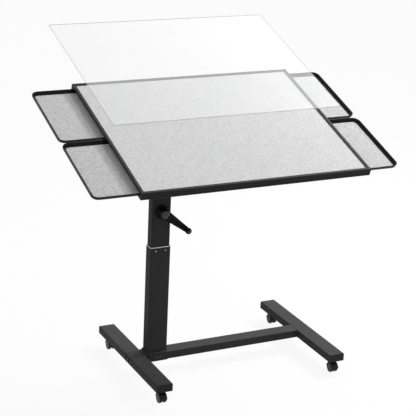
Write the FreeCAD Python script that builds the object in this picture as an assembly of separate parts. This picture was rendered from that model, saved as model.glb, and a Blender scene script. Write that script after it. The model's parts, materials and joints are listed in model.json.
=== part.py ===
import FreeCAD, Part
import math
import os

# Jigsaw table with a tilting top, four sliding trays, a clear cover, a crank-driven
# telescopic column and a base on swivel casters. Millimetres and degrees.
# X runs to the right, -Y faces the person at the table, Z is up and the floor is Z = 0.
# The origin lies on the floor under the middle of the whole object.

# The top, across (W), up the slope (D) and through its thickness, counted down from the rims
TOP_W = 900.0
TOP_D = 700.0
RAIL_T = 12.0
RAIL_EDGE_R = 1.5
RECESS = 4.0
FELT_T = 1.0
PANEL_T = 4.0
TRAY_HEADROOM = 2.0
TRAY_H = 14.0
TRAY_UNDER_GAP = 0.5
BOTTOM_T = 2.5
DIVIDER_T = 10.0
BEAM_T = 12.0
TILT_ANGLE = 18.0
FLAT_ANGLE = 0.0
STEEP_ANGLE = 60.0

# Trays: how far each side's pair is pulled out, and how far their walls lean in to the floor
TRAY_L = 330.0
TRAY_OUT_LEFT = 166.5
TRAY_OUT_RIGHT = 136.5
TRAY_PROUD = 5.0
TRAY_SIDE_GAP = 1.0
TRAY_RUNNER_T = 5.0
TRAY_WALL = 3.0
TRAY_DRAFT = 7.0
TRAY_FLOOR = 2.0
TRAY_CORNER_R = 28.0
TRAY_FELT_T = 1.0
TRAY_FELT_GAP = 0.4

# Clear cover: its play in the recess, the puzzle that it lies on, and where it is held up
COVER_T = 2.5
COVER_PLAY = 4.0
COVER_CORNER_R = 4.0
PUZZLE_T = 2.2
COVER_LIFT = 200.0
COVER_SHIFT_X = -100.0
COVER_SHIFT_D = 106.0

# Base, with the gap between the left foot and the column's saddle
FOOT_W = 64.0
FOOT_H = 30.0
FOOT_L = 556.0
FOOT_WALL = 1.5
TUBE_R = 3.0
BASE_W = 785.0
SADDLE_GAP = 11.5
CROSSBAR_W = 60.0
CROSSBAR_WALL = 1.5
END_BLOCK_T = 8.0
CAP_FLANGE_T = 3.0
CAP_PLUG_L = 14.0
FOOT_BOLT_D = 8.0
FOOT_BOLT_PITCH = 30.0

# Saddle that wraps the crossbar under the column
SADDLE_TOP_T = 4.0
SADDLE_SIDE_T = 3.0
SADDLE_BOLT_D = 6.0
SADDLE_BOLT_PITCH = 16.0
SADDLE_BOLT_DROP = 16.0

# Column, off the top's middle by COLUMN_SHIFT_X: the inner tube fits the liner, and LIFT_DOWN
# and LIFT_UP are its travel
COLUMN_SHIFT_X = -222.5
OUTER_W = 80.0
OUTER_D = 45.0
OUTER_WALL = 2.0
OUTER_TOP = 506.0
COLUMN_R = 4.0
LINER_WALL = 0.8
LINER_DEPTH = 60.0
LINER_FLANGE_T = 2.5
LINER_SCREW_PITCH = 38.0
LINER_SCREW_DROP = 12.0
LINER_SCREW_D = 4.0
INNER_WALL = 2.0
INNER_FOOT_GAP = 9.0
GLIDE_H = 40.0
GLIDE_LIP_T = 2.0
LIFT_DOWN = 85.0
LIFT_UP = 115.0

# Lifting screw, its post and nut, behind the middle of the column
SCREW_D = 12.0
SCREW_SPARE_L = 10.0
JOURNAL_D = 8.0
POST_D = 22.0
POST_WALL = 2.0
POST_DROP = 31.0
POST_FOOT_GAP = 2.5
POST_FOOT_T = 4.0
NUT_GAP = 1.0
NUT_D = 23.0
NUT_H = 25.0
NUT_SPIGOT_H = 10.0
NUT_SPIGOT_GAP = 0.1
BEARING_PLATE_T = 8.0

# Bevel pair
BEVEL_TEETH = 16
BEVEL_MODULE = 1.3
BEVEL_FACE = 4.0
BEVEL_BACK = 3.5
BEVEL_HUB_L = 3.0
BEVEL_BACKLASH = 0.16
PRESSURE_ANGLE = 20.0
CONE_ANGLE = 45.0
ADDENDUM_SHARE = 0.85
DEDENDUM_SHARE = 1.2
MESH_SHARE = 0.5
FLANK_STEPS = 2

# Crank: its housing stays HOUSING_GAP above the liner when the column is down
HOUSING_GAP = 25.5
CRANK_ANGLE = -38.0
CRANK_R = 113.0
HOUSING_D = 52.0
HOUSING_BASE_T = 6.0
HOUSING_NECK_D = 42.0
HOUSING_NOSE_D = 34.0
HOUSING_L = 17.0
HOUSING_EDGE_R = 2.5
BUSH_D = 14.0
CRANK_HUB_D = 38.0
CRANK_HUB_T = 18.0
CRANK_DOME_H = 5.0
ARM_T = 12.0
ARM_ROOT_W = 36.0
ARM_TIP_W = 20.0
ARM_TAPER_SHARE = 0.8
ARM_TIP_BOSS_D = 18.0
ARM_EDGE = 2.5
DOME_FLAT_SHARE = 0.45
GROOVE_DEPTH = 3.0
GROOVE_ROOT_W = 12.0
GROOVE_TIP_W = 7.0
GROOVE_START_SHARE = 0.26
GROOVE_END_SHARE = 0.72
KNOB_D = 24.0
KNOB_L = 22.0
KNOB_NECK_D = 16.0
KNOB_SWELL_SHARE = 0.3
KNOB_PIN_D = 6.0
KNOB_SCREW_D = 10.0
KNOB_SCREW_H = 2.0

# Tilting head
PIVOT_Z = 898.5
PIVOT_UNDER_TOP = 27.0
HEAD_PLATE_T = 5.0
EAR_T = 4.0
EAR_INSET = 6.5
EAR_FOOT_INSET = 1.5
EAR_TOP_R = 16.0
CHEEK_FOOT_GAP = 4.0
CHEEK_T = 3.0
CHEEK_GAP = 0.5
CHEEK_R = 50.0
CHEEK_ROUND_SHARE = 0.9
CHEEK_BACK_W = 24.0
BRACKET_W = 300.0
BRACKET_D = 200.0
BRACKET_CORNER_R = 12.0
PIVOT_D = 10.0
STUD_D = 8.0
STUD_R = 36.0
SLOT_PLAY = 0.3
BRACKET_SCREW_D = 5.0
BRACKET_SCREW_INSET = 16.0
CLAMP_KNOB_D = 38.0
CLAMP_KNOB_H = 18.0
CLAMP_LOBES = 5
CLAMP_SCALLOP_R = 7.0
CLAMP_EDGE = 3.0
CLAMP_HUB_D = 18.0
CLAMP_HUB_H = 4.0

# Casters
CASTER_INSET = 34.0
WHEEL_D = 36.0
WHEEL_W = 10.5
WHEEL_EDGE_R = 2.0
WHEEL_DISH = 2.0
WHEEL_RIM_T = 5.0
AXLE_D = 5.0
WEB_T = 7.0
WEB_R = 13.0
WHEEL_SIDE_GAP = 0.6
TRAIL = 10.0
HOOD_GAP = 1.2
HOOD_T = 2.0
COLLAR_D = 20.0
COLLAR_RISE = 8.9
SWIVEL_GAP = 0.4
STEM_D = 8.0
STEM_THREAD_L = 10.0
STEM_HEX = 14.0
STEM_HEX_H = 3.5

# Shared clearances and fastener heads
TOUCH = 0.001
SEAT = 0.1
RUN = 0.05
SLIDE = 0.2
HOLE_PLAY = 0.4
OVERRUN = 2.0
HEAD_D_SHARE = 1.75
HEAD_H_SHARE = 0.55
NUT_AF_SHARE = 1.65
NUT_H_SHARE = 0.8

# Worked out from the sizes above
TOP_T = (RECESS + FELT_T + PANEL_T + TRAY_HEADROOM + TRAY_H + TRAY_UNDER_GAP + BOTTOM_T)
FELT_TOP = -RECESS
PANEL_TOP = FELT_TOP - FELT_T
PANEL_UNDER = PANEL_TOP - PANEL_T
TRAY_TOP = PANEL_UNDER - TRAY_HEADROOM
TRAY_UNDER = TRAY_TOP - TRAY_H
BOTTOM_TOP = TRAY_UNDER - TRAY_UNDER_GAP
PIVOT_DROP = TOP_T + PIVOT_UNDER_TOP
INNER_TOP_W = TOP_W - 2 * RAIL_T
INNER_TOP_D = TOP_D - 2 * RAIL_T
TRAY_Y0 = DIVIDER_T / 2 + TRAY_SIDE_GAP
TRAY_Y1 = INNER_TOP_D / 2 - TRAY_RUNNER_T - TRAY_SIDE_GAP
TOP_X = (TRAY_OUT_LEFT - TRAY_OUT_RIGHT) / 2
COLUMN_X = TOP_X + COLUMN_SHIFT_X
COVER_W = INNER_TOP_W - 2 * COVER_PLAY
COVER_D = INNER_TOP_D - 2 * COVER_PLAY
COVER_UNDER = FELT_TOP + PUZZLE_T + COVER_LIFT
HOOD_TOP = WHEEL_D + HOOD_GAP + HOOD_T
COLLAR_TOP = HOOD_TOP + COLLAR_RISE
CASTER_H = COLLAR_TOP + SWIVEL_GAP + STEM_HEX_H
FOOT_TOP = CASTER_H + FOOT_H
FOOT_LEFT_X = COLUMN_X - OUTER_W / 2 - SADDLE_GAP - FOOT_W / 2
FOOT_RIGHT_X = FOOT_LEFT_X + BASE_W - FOOT_W
COLUMN_FOOT = FOOT_TOP + SADDLE_TOP_T
INNER_W = OUTER_W - 2 * (OUTER_WALL + LINER_WALL + SLIDE)
INNER_D = OUTER_D - 2 * (OUTER_WALL + LINER_WALL + SLIDE)
INNER_BOTTOM = COLUMN_FOOT + LIFT_DOWN + INNER_FOOT_GAP
POST_TOP = OUTER_TOP - POST_DROP
POST_FOOT_D = OUTER_D - 2 * (OUTER_WALL + POST_FOOT_GAP)
SCREW_BACK = INNER_D / 2 - INNER_WALL - NUT_D / 2 - NUT_GAP
SCREW_TIP_Z = POST_TOP - NUT_SPIGOT_H - LIFT_UP - SCREW_SPARE_L
CRANK_Z = OUTER_TOP + LINER_FLANGE_T + LIFT_DOWN + HOUSING_GAP + HOUSING_D / 2
PITCH_R = BEVEL_MODULE * BEVEL_TEETH / 2
CONE_R = PITCH_R / math.sin(math.radians(CONE_ANGLE))
SMALL_END_SHARE = (CONE_R - BEVEL_FACE) / CONE_R
BEVEL_L = PITCH_R + BEVEL_BACK + BEVEL_HUB_L
PLATE_TOP = CRANK_Z - BEVEL_L - SEAT
PLATE_UNDER = PLATE_TOP - BEARING_PLATE_T
SHOULDER_Z = PLATE_UNDER - SEAT
BUSH_IN_L = INNER_D / 2 + SCREW_BACK - BEVEL_L - SLIDE
EAR_SPAN = INNER_W - 2 * EAR_INSET
EAR_FOOT_W = INNER_D - 2 * EAR_FOOT_INSET
HEAD_H = CHEEK_R + CHEEK_FOOT_GAP
HEAD_UNDER = PIVOT_Z - HEAD_H
INNER_TOP = HEAD_UNDER - HEAD_PLATE_T

SIN_TILT = math.sin(math.radians(TILT_ANGLE))
COS_TILT = math.cos(math.radians(TILT_ANGLE))
FRONT_REACH = ((TOP_D / 2 - RAIL_EDGE_R) * COS_TILT + (PIVOT_DROP - RAIL_EDGE_R) * SIN_TILT
               + RAIL_EDGE_R)
BACK_REACH = (COVER_SHIFT_D + COVER_D / 2) * COS_TILT - (COVER_UNDER + PIVOT_DROP) * SIN_TILT
PIVOT_Y = (FRONT_REACH - BACK_REACH) / 2

V = FreeCAD.Vector
ORIGIN = V(0, 0, 0)
X_AXIS = V(1, 0, 0)
Y_AXIS = V(0, 1, 0)
Z_AXIS = V(0, 0, 1)
COLUMN = V(COLUMN_X, PIVOT_Y, 0)
SCREW_AXIS = V(COLUMN_X, PIVOT_Y + SCREW_BACK, 0)
CRANK_FACE_Y = PIVOT_Y - INNER_D / 2

PARTS = {}


def keep(name, *solids):
    PARTS[name] = list(solids)


def block(x0, x1, y0, y1, z0, z1):
    return Part.makeBox(x1 - x0, y1 - y0, z1 - z0, V(x0, y0, z0))


def rod(diameter, length, start, direction=Z_AXIS):
    return Part.makeCylinder(diameter / 2, length, start, direction)


def arc_corner_wire(corners):
    """Closed wire in the XY plane through (x, y, corner radius), anticlockwise."""
    count = len(corners)
    starts = []
    ends = []
    for i in range(count):
        here = V(corners[i][0], corners[i][1], 0)
        before = V(corners[i - 1][0], corners[i - 1][1], 0)
        after = V(corners[(i + 1) % count][0], corners[(i + 1) % count][1], 0)
        back = (before - here).normalize()
        ahead = (after - here).normalize()
        half = back.getAngle(ahead) / 2
        reach = corners[i][2] / math.tan(half)
        starts.append(here + back * reach)
        ends.append(here + ahead * reach)
    edges = []
    for i in range(count):
        radius = corners[i][2]
        if radius > 0:
            here = V(corners[i][0], corners[i][1], 0)
            middle = (starts[i] + ends[i]) * 0.5
            outward = (here - middle).normalize()
            half_chord = starts[i].distanceToPoint(ends[i]) / 2
            rise = radius - math.sqrt(radius * radius - half_chord * half_chord)
            edges.append(Part.Arc(starts[i], middle + outward * rise, ends[i]).toShape())
        following = starts[(i + 1) % count]
        if ends[i].distanceToPoint(following) > TOUCH:
            edges.append(Part.LineSegment(ends[i], following).toShape())
    return Part.Wire(edges)


def rounded_block(width, depth, height, radius, x=0.0, y=0.0, z=0.0):
    """Upright block centred on x, y with rounded vertical edges."""
    corners = [(-width / 2, -depth / 2, radius), (width / 2, -depth / 2, radius),
               (width / 2, depth / 2, radius), (-width / 2, depth / 2, radius)]
    solid = Part.Face(arc_corner_wire(corners)).extrude(V(0, 0, height))
    solid.translate(V(x, y, z))
    return solid


def rect_tube(width, depth, wall, radius, length):
    """Upright rectangular tube on the origin, rounded outside and square inside."""
    bore = centred_block(width - 2 * wall, depth - 2 * wall, length + 2 * OVERRUN, z=-OVERRUN)
    return rounded_block(width, depth, length, radius).cut(bore)


def centred_block(width, depth, height, z=0.0):
    """Upright square-edged block on the Z axis."""
    return block(-width / 2, width / 2, -depth / 2, depth / 2, z, z + height)


def revolve(profile, start=ORIGIN, direction=Z_AXIS):
    """Solid of revolution from (radius, height) points, set on start along direction."""
    points = [V(r, 0, h) for r, h in profile]
    solid = Part.Face(Part.makePolygon(points + points[:1])).revolve(ORIGIN, Z_AXIS, 360)
    solid.Placement = FreeCAD.Placement(start, FreeCAD.Rotation(Z_AXIS, direction))
    return solid


def bolt(diameter, length, under_head, direction):
    """Cap head bolt: its head sits on under_head and its shank runs along direction."""
    head_r = HEAD_D_SHARE * diameter / 2
    head_h = HEAD_H_SHARE * diameter
    return revolve([(0, length), (diameter / 2, length), (diameter / 2, 0), (head_r, 0),
                    (head_r, -head_h), (0, -head_h)], under_head, direction)


def hex_prism(across_flats, height, start, direction=Z_AXIS):
    radius = across_flats / math.sqrt(3)
    points = []
    for i in range(6):
        turn = math.radians(60 * i)
        points.append(V(radius * math.cos(turn), radius * math.sin(turn), 0))
    solid = Part.Face(Part.makePolygon(points + points[:1])).extrude(V(0, 0, height))
    solid.Placement = FreeCAD.Placement(start, FreeCAD.Rotation(Z_AXIS, direction))
    return solid


def hex_nut(diameter, start, direction):
    height = NUT_H_SHARE * diameter
    bore = rod(diameter + 2 * SEAT, height + 2 * OVERRUN, start - direction * OVERRUN, direction)
    return hex_prism(NUT_AF_SHARE * diameter, height, start, direction).cut(bore)


def moved(solid, shift):
    copy = solid.copy()
    copy.translate(shift)
    return copy


def on_top(solid):
    """From the top's own frame (X across, Y up the slope, Z out of the rims) to its place."""
    placed = solid.copy()
    placed.translate(V(0, 0, PIVOT_DROP))
    placed.rotate(ORIGIN, X_AXIS, TILT_ANGLE)
    placed.translate(V(TOP_X, PIVOT_Y, PIVOT_Z))
    return placed


def foot_tube(x):
    """Box tube runner along Y with holes for its casters and for the crossbar's bolts."""
    tube = rect_tube(FOOT_W, FOOT_H, FOOT_WALL, TUBE_R, FOOT_L)
    tube.rotate(ORIGIN, X_AXIS, 90)
    tube.translate(V(x, PIVOT_Y + FOOT_L / 2, CASTER_H + FOOT_H / 2))
    for y in bolt_rows(FOOT_BOLT_PITCH):
        start = V(x - FOOT_W, y, CASTER_H + FOOT_H / 2)
        tube = tube.cut(rod(FOOT_BOLT_D + HOLE_PLAY, 2 * FOOT_W, start, X_AXIS))
    for y in caster_rows():
        start = V(x, y, CASTER_H - OVERRUN)
        tube = tube.cut(rod(STEM_D + HOLE_PLAY, FOOT_WALL + 2 * OVERRUN, start))
    return tube


def bolt_rows(pitch):
    return [PIVOT_Y - pitch / 2, PIVOT_Y + pitch / 2]


def caster_rows():
    reach = FOOT_L / 2 - CASTER_INSET
    return [PIVOT_Y - reach, PIVOT_Y + reach]


def end_cap(x, side):
    """Plug with a thin flange for the open end of a foot; side is -1 in front, 1 behind."""
    bore_w = FOOT_W - 2 * FOOT_WALL - 2 * SEAT
    bore_h = FOOT_H - 2 * FOOT_WALL - 2 * SEAT
    plug = centred_block(bore_w, bore_h, CAP_PLUG_L)
    flange = rounded_block(FOOT_W, FOOT_H, CAP_FLANGE_T, TUBE_R, z=-CAP_FLANGE_T)
    cap = plug.fuse(flange)
    cap.rotate(ORIGIN, X_AXIS, 90 * side)
    cap.translate(V(x, PIVOT_Y + side * FOOT_L / 2, CASTER_H + FOOT_H / 2))
    return cap


def crossbar_tube(x0, x1):
    """Box tube along X whose ends hold threaded blocks for the foot bolts."""
    length = x1 - x0
    tube = rect_tube(FOOT_H, CROSSBAR_W, CROSSBAR_WALL, TUBE_R, length)
    for z in (0.0, length - END_BLOCK_T):
        tube = tube.fuse(centred_block(FOOT_H - 2 * CROSSBAR_WALL, CROSSBAR_W - 2 * CROSSBAR_WALL,
                                       END_BLOCK_T, z))
    tube.rotate(ORIGIN, Y_AXIS, 90)
    tube.translate(V(x0, PIVOT_Y, CASTER_H + FOOT_H / 2))
    for y in bolt_rows(FOOT_BOLT_PITCH):
        start = V(x0 - OVERRUN, y, CASTER_H + FOOT_H / 2)
        tube = tube.cut(rod(FOOT_BOLT_D + 2 * SEAT, length + 2 * OVERRUN, start, X_AXIS))
    for x in saddle_bolt_columns():
        start = V(x, PIVOT_Y - CROSSBAR_W, saddle_bolt_z())
        tube = tube.cut(rod(SADDLE_BOLT_D + HOLE_PLAY, 2 * CROSSBAR_W, start, Y_AXIS))
    return tube.removeSplitter()


def saddle_bolt_columns():
    return [COLUMN_X - SADDLE_BOLT_PITCH / 2, COLUMN_X + SADDLE_BOLT_PITCH / 2]


def saddle_bolt_z():
    return COLUMN_FOOT - SADDLE_BOLT_DROP


def saddle_half_depth():
    return CROSSBAR_W / 2 + SEAT + SADDLE_SIDE_T


def build_saddle():
    """Channel that hangs over the crossbar; the outer tube is welded on its top."""
    half = saddle_half_depth()
    x0 = COLUMN_X - OUTER_W / 2
    x1 = COLUMN_X + OUTER_W / 2
    shell = block(x0, x1, PIVOT_Y - half, PIVOT_Y + half, CASTER_H, COLUMN_FOOT)
    long_edges = [edge for edge in shell.Edges
                  if edge.BoundBox.ZMin > COLUMN_FOOT - SEAT and edge.BoundBox.XLength > SADDLE_TOP_T]
    shell = shell.makeFillet(SADDLE_SIDE_T, long_edges)
    inside = half - SADDLE_SIDE_T
    shell = shell.cut(block(x0 - OVERRUN, x1 + OVERRUN, PIVOT_Y - inside, PIVOT_Y + inside,
                            CASTER_H - OVERRUN, FOOT_TOP))
    for x in saddle_bolt_columns():
        start = V(x, PIVOT_Y - 2 * half, saddle_bolt_z())
        shell = shell.cut(rod(SADDLE_BOLT_D + HOLE_PLAY, 4 * half, start, Y_AXIS))
    keep("column_saddle", shell)
    bolts = []
    for x in saddle_bolt_columns():
        nut_l = NUT_H_SHARE * SADDLE_BOLT_D
        head = V(x, PIVOT_Y - half, saddle_bolt_z())
        bolts.append(bolt(SADDLE_BOLT_D, 2 * half + nut_l + SADDLE_SIDE_T, head, Y_AXIS))
        bolts.append(hex_nut(SADDLE_BOLT_D, V(x, PIVOT_Y + half, saddle_bolt_z()), Y_AXIS))
    keep("saddle_bolts", *bolts)


def build_base():
    keep("left_foot", foot_tube(FOOT_LEFT_X))
    keep("right_foot", foot_tube(FOOT_RIGHT_X))
    inner_left = FOOT_LEFT_X + FOOT_W / 2
    inner_right = FOOT_RIGHT_X - FOOT_W / 2
    keep("crossbar", crossbar_tube(inner_left, inner_right))
    caps = [end_cap(x, side) for x in (FOOT_LEFT_X, FOOT_RIGHT_X) for side in (-1, 1)]
    keep("foot_end_caps", *caps)
    bolts = []
    for y in bolt_rows(FOOT_BOLT_PITCH):
        length = FOOT_W + END_BLOCK_T
        z = CASTER_H + FOOT_H / 2
        bolts.append(bolt(FOOT_BOLT_D, length, V(FOOT_LEFT_X - FOOT_W / 2, y, z), X_AXIS))
        bolts.append(bolt(FOOT_BOLT_D, length, V(FOOT_RIGHT_X + FOOT_W / 2, y, z), X_AXIS * -1))
    keep("foot_bolts", *bolts)
    build_saddle()


def column_tube(width, depth, wall, bottom, top):
    tube = rect_tube(width, depth, wall, COLUMN_R, top - bottom)
    tube.translate(COLUMN + V(0, 0, bottom))
    return tube


def build_outer_column():
    """Fixed tube, its liner collar with two screws, and the post that carries the lifting nut."""
    tube = column_tube(OUTER_W, OUTER_D, OUTER_WALL, COLUMN_FOOT, OUTER_TOP)
    bore_w = INNER_W + 2 * SLIDE
    bore_d = INNER_D + 2 * SLIDE
    liner_w = OUTER_W - 2 * OUTER_WALL - 2 * SEAT
    liner_d = OUTER_D - 2 * OUTER_WALL - 2 * SEAT
    liner = rounded_block(liner_w, liner_d, LINER_DEPTH, COLUMN_R - OUTER_WALL, z=-LINER_DEPTH)
    liner = liner.fuse(rounded_block(OUTER_W, OUTER_D, LINER_FLANGE_T, COLUMN_R))
    bore = rounded_block(bore_w, bore_d, LINER_DEPTH + LINER_FLANGE_T + 2 * OVERRUN, COLUMN_R + SLIDE,
                         z=-LINER_DEPTH - OVERRUN)
    liner = liner.cut(bore)
    liner.translate(COLUMN + V(0, 0, OUTER_TOP))
    screws = []
    for x in (-LINER_SCREW_PITCH / 2, LINER_SCREW_PITCH / 2):
        at = COLUMN + V(x, -OUTER_D / 2, OUTER_TOP - LINER_SCREW_DROP)
        hole = rod(LINER_SCREW_D + 2 * SEAT, OUTER_WALL + LINER_WALL + SEAT + OVERRUN,
                   at - Y_AXIS * OVERRUN, Y_AXIS)
        tube = tube.cut(hole)
        liner = liner.cut(hole)
        screws.append(bolt(LINER_SCREW_D, OUTER_WALL + LINER_WALL, at, Y_AXIS))
    keep("outer_column_tube", tube)
    keep("liner_collar", liner)
    keep("liner_screws", *screws)
    post_foot = SCREW_AXIS + V(0, 0, COLUMN_FOOT)
    post = rod(POST_D, POST_TOP - COLUMN_FOOT, post_foot)
    post = post.fuse(rod(POST_FOOT_D, POST_FOOT_T, COLUMN + V(0, 0, COLUMN_FOOT)))
    bore_start = post_foot + V(0, 0, POST_FOOT_T)
    post = post.cut(rod(POST_D - 2 * POST_WALL, POST_TOP, bore_start))
    keep("nut_post", post.removeSplitter())
    spigot_d = POST_D - 2 * POST_WALL - 2 * NUT_SPIGOT_GAP
    nut = rod(NUT_D, NUT_H, SCREW_AXIS + V(0, 0, POST_TOP))
    nut = nut.fuse(rod(spigot_d, NUT_SPIGOT_H, SCREW_AXIS + V(0, 0, POST_TOP - NUT_SPIGOT_H)))
    thread = rod(SCREW_D + 2 * RUN, NUT_H + NUT_SPIGOT_H + 2 * OVERRUN,
                 SCREW_AXIS + V(0, 0, POST_TOP - NUT_SPIGOT_H - OVERRUN))
    keep("lifting_nut", nut.cut(thread).removeSplitter())


def build_inner_column():
    """Sliding tube with its lower glide, the screw's bearing plate and the crank housing."""
    tube = column_tube(INNER_W, INNER_D, INNER_WALL, INNER_BOTTOM, INNER_TOP)
    crank_hole = rod(BUSH_D + HOLE_PLAY, INNER_WALL + 2 * OVERRUN,
                     V(COLUMN_X, CRANK_FACE_Y - OVERRUN, CRANK_Z), Y_AXIS)
    keep("inner_column_tube", tube.cut(crank_hole))

    glide_w = OUTER_W - 2 * OUTER_WALL - 2 * SLIDE
    glide_d = OUTER_D - 2 * OUTER_WALL - 2 * SLIDE
    glide = rounded_block(glide_w, glide_d, GLIDE_H + GLIDE_LIP_T, COLUMN_R - OUTER_WALL,
                          z=INNER_BOTTOM - GLIDE_LIP_T)
    sleeve = rounded_block(INNER_W + 2 * SEAT, INNER_D + 2 * SEAT, GLIDE_H + OVERRUN, COLUMN_R + SEAT,
                           z=INNER_BOTTOM)
    throat = centred_block(INNER_W - 2 * INNER_WALL, INNER_D - 2 * INNER_WALL, GLIDE_LIP_T + 2 * OVERRUN,
                           INNER_BOTTOM - GLIDE_LIP_T - OVERRUN)
    glide = glide.cut(sleeve).cut(throat)
    glide.translate(COLUMN)
    keep("lower_glide", glide)

    plate_w = INNER_W - 2 * INNER_WALL - 2 * SEAT
    plate_d = INNER_D - 2 * INNER_WALL - 2 * SEAT
    plate = centred_block(plate_w, plate_d, BEARING_PLATE_T, PLATE_UNDER)
    plate.translate(COLUMN)
    plate = plate.cut(rod(JOURNAL_D + 2 * RUN, BEARING_PLATE_T + 2 * OVERRUN,
                          SCREW_AXIS + V(0, 0, PLATE_UNDER - OVERRUN)))
    keep("screw_bearing_plate", plate)


def housing_profile():
    """Round flange that falls to a neck and ends in a flat nose."""
    edge = HOUSING_EDGE_R
    return [(0, 0), (HOUSING_D / 2, 0), (HOUSING_D / 2, HOUSING_BASE_T - edge),
            (HOUSING_D / 2 - edge, HOUSING_BASE_T), (HOUSING_NECK_D / 2, HOUSING_BASE_T),
            (HOUSING_NOSE_D / 2, HOUSING_L), (0, HOUSING_L)]


def build_crank_housing():
    """Flanged nose on the front of the inner tube, with the crank shaft's bush."""
    face = V(COLUMN_X, CRANK_FACE_Y, CRANK_Z)
    outward = Y_AXIS * -1
    nose = revolve(housing_profile(), face, outward)
    bore = rod(BUSH_D + 2 * SEAT, HOUSING_L + 2 * OVERRUN, face + Y_AXIS * OVERRUN, outward)
    keep("crank_housing", nose.cut(bore))
    bush = rod(BUSH_D, BUSH_IN_L + HOUSING_L, face + Y_AXIS * BUSH_IN_L, outward)
    bore = rod(JOURNAL_D + 2 * RUN, BUSH_IN_L + HOUSING_L + 2 * OVERRUN,
               face + Y_AXIS * (BUSH_IN_L + OVERRUN), outward)
    keep("crank_bush", bush.cut(bore))


def involute(angle):
    return math.tan(angle) - angle


def bevel_tooth_outline(pitch_r, virtual_r):
    """Tooth section in the plane square to the pitch cone at its large end, as (across, out)."""
    pressure = math.radians(PRESSURE_ANGLE)
    base_r = virtual_r * math.cos(pressure)
    tip_r = virtual_r + ADDENDUM_SHARE * BEVEL_MODULE
    root_r = virtual_r - DEDENDUM_SHARE * BEVEL_MODULE
    flank_r = max(base_r, root_r)
    half = math.pi * BEVEL_MODULE / 4 / virtual_r - BEVEL_BACKLASH / 2 / virtual_r
    right = [(root_r - BEVEL_MODULE / 2, None), (root_r, None)]
    for i in range(FLANK_STEPS + 1):
        radius = flank_r + (tip_r - flank_r) * i / FLANK_STEPS
        right.append((radius, half + involute(pressure) - involute(math.acos(min(1.0, base_r / radius)))))
    widest = right[2][1]
    points = []
    for radius, angle in right:
        turn = widest if angle is None else angle
        points.append((radius * math.sin(turn), radius * math.cos(turn) - virtual_r))
    return points + [(-across, out) for across, out in reversed(points)]


def bevel_gear(phase):
    """Bevel gear under its cone's tip, which is the origin, with teeth facing up."""
    lean = math.radians(CONE_ANGLE)
    small = SMALL_END_SHARE
    virtual_r = PITCH_R / math.cos(lean)
    along = V(math.sin(lean), 0, -math.cos(lean))
    out = V(math.cos(lean), 0, math.sin(lean))
    pitch_point = along * CONE_R
    outline = []
    for across, height in bevel_tooth_outline(PITCH_R, virtual_r):
        outline.append(pitch_point + out * height + Y_AXIS * across)
    large_wire = Part.makePolygon(outline + outline[:1])
    small_outline = [point * small for point in outline]
    small_wire = Part.makePolygon(small_outline + small_outline[:1])
    tooth = Part.makeLoft([large_wire, small_wire], True, True)
    root = pitch_point - out * (DEDENDUM_SHARE * BEVEL_MODULE)
    root_in = root * small
    back_z = root.z - BEVEL_BACK + DEDENDUM_SHARE * BEVEL_MODULE * math.sin(lean)
    hub_r = PITCH_R - BEVEL_MODULE * 2
    profile = [(0, root_in.z), (root_in.x, root_in.z), (root.x, root.z), (root.x, back_z),
               (hub_r, back_z), (hub_r, back_z - BEVEL_HUB_L), (0, back_z - BEVEL_HUB_L)]
    gear = revolve(profile)
    teeth = []
    for i in range(BEVEL_TEETH):
        copy = tooth.copy()
        copy.rotate(ORIGIN, Z_AXIS, 360 / BEVEL_TEETH * (i + phase))
        teeth.append(copy)
    gear = gear.fuse(teeth)
    bore = rod(JOURNAL_D + 2 * SEAT, CONE_R * 2, V(0, 0, -CONE_R * 2))
    return gear.cut(bore)


def build_screw():
    """Screw with its shoulder under the bearing plate, and its bevel gear on top of the plate."""
    gear = bevel_gear(0)
    gear.translate(SCREW_AXIS + V(0, 0, CRANK_Z))
    keep("screw_bevel_gear", gear)
    journal_top = CRANK_Z - PITCH_R * SMALL_END_SHARE + SEAT
    keep("lifting_screw", revolve([(0, SCREW_TIP_Z), (SCREW_D / 2, SCREW_TIP_Z), (SCREW_D / 2, SHOULDER_Z),
                                   (JOURNAL_D / 2, SHOULDER_Z), (JOURNAL_D / 2, journal_top),
                                   (0, journal_top)], SCREW_AXIS))


def to_crank(solid):
    """From the crank's own frame (arm along X, shaft along Z towards the user) to its place."""
    placed = solid.copy()
    placed.rotate(ORIGIN, Z_AXIS, CRANK_ANGLE)
    placed.rotate(ORIGIN, X_AXIS, 90)
    placed.translate(V(COLUMN_X, CRANK_FACE_Y, CRANK_Z))
    return placed


def arm_outline():
    """Tapered arm from the hub to the knob's boss, in the crank's own frame."""
    taper_x = CRANK_R * ARM_TAPER_SHARE
    return [(0, -ARM_ROOT_W / 2), (taper_x, -ARM_TIP_W / 2), (CRANK_R, -ARM_TIP_BOSS_D / 4),
            (CRANK_R, ARM_TIP_BOSS_D / 4), (taper_x, ARM_TIP_W / 2), (0, ARM_ROOT_W / 2)]


def crank_hub(under, top):
    """Round boss on the shaft with a crowned front."""
    radius = CRANK_HUB_D / 2
    return revolve([(0, under), (radius, under), (radius, top), (radius * DOME_FLAT_SHARE, top + CRANK_DOME_H),
                    (0, top + CRANK_DOME_H)])


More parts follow.
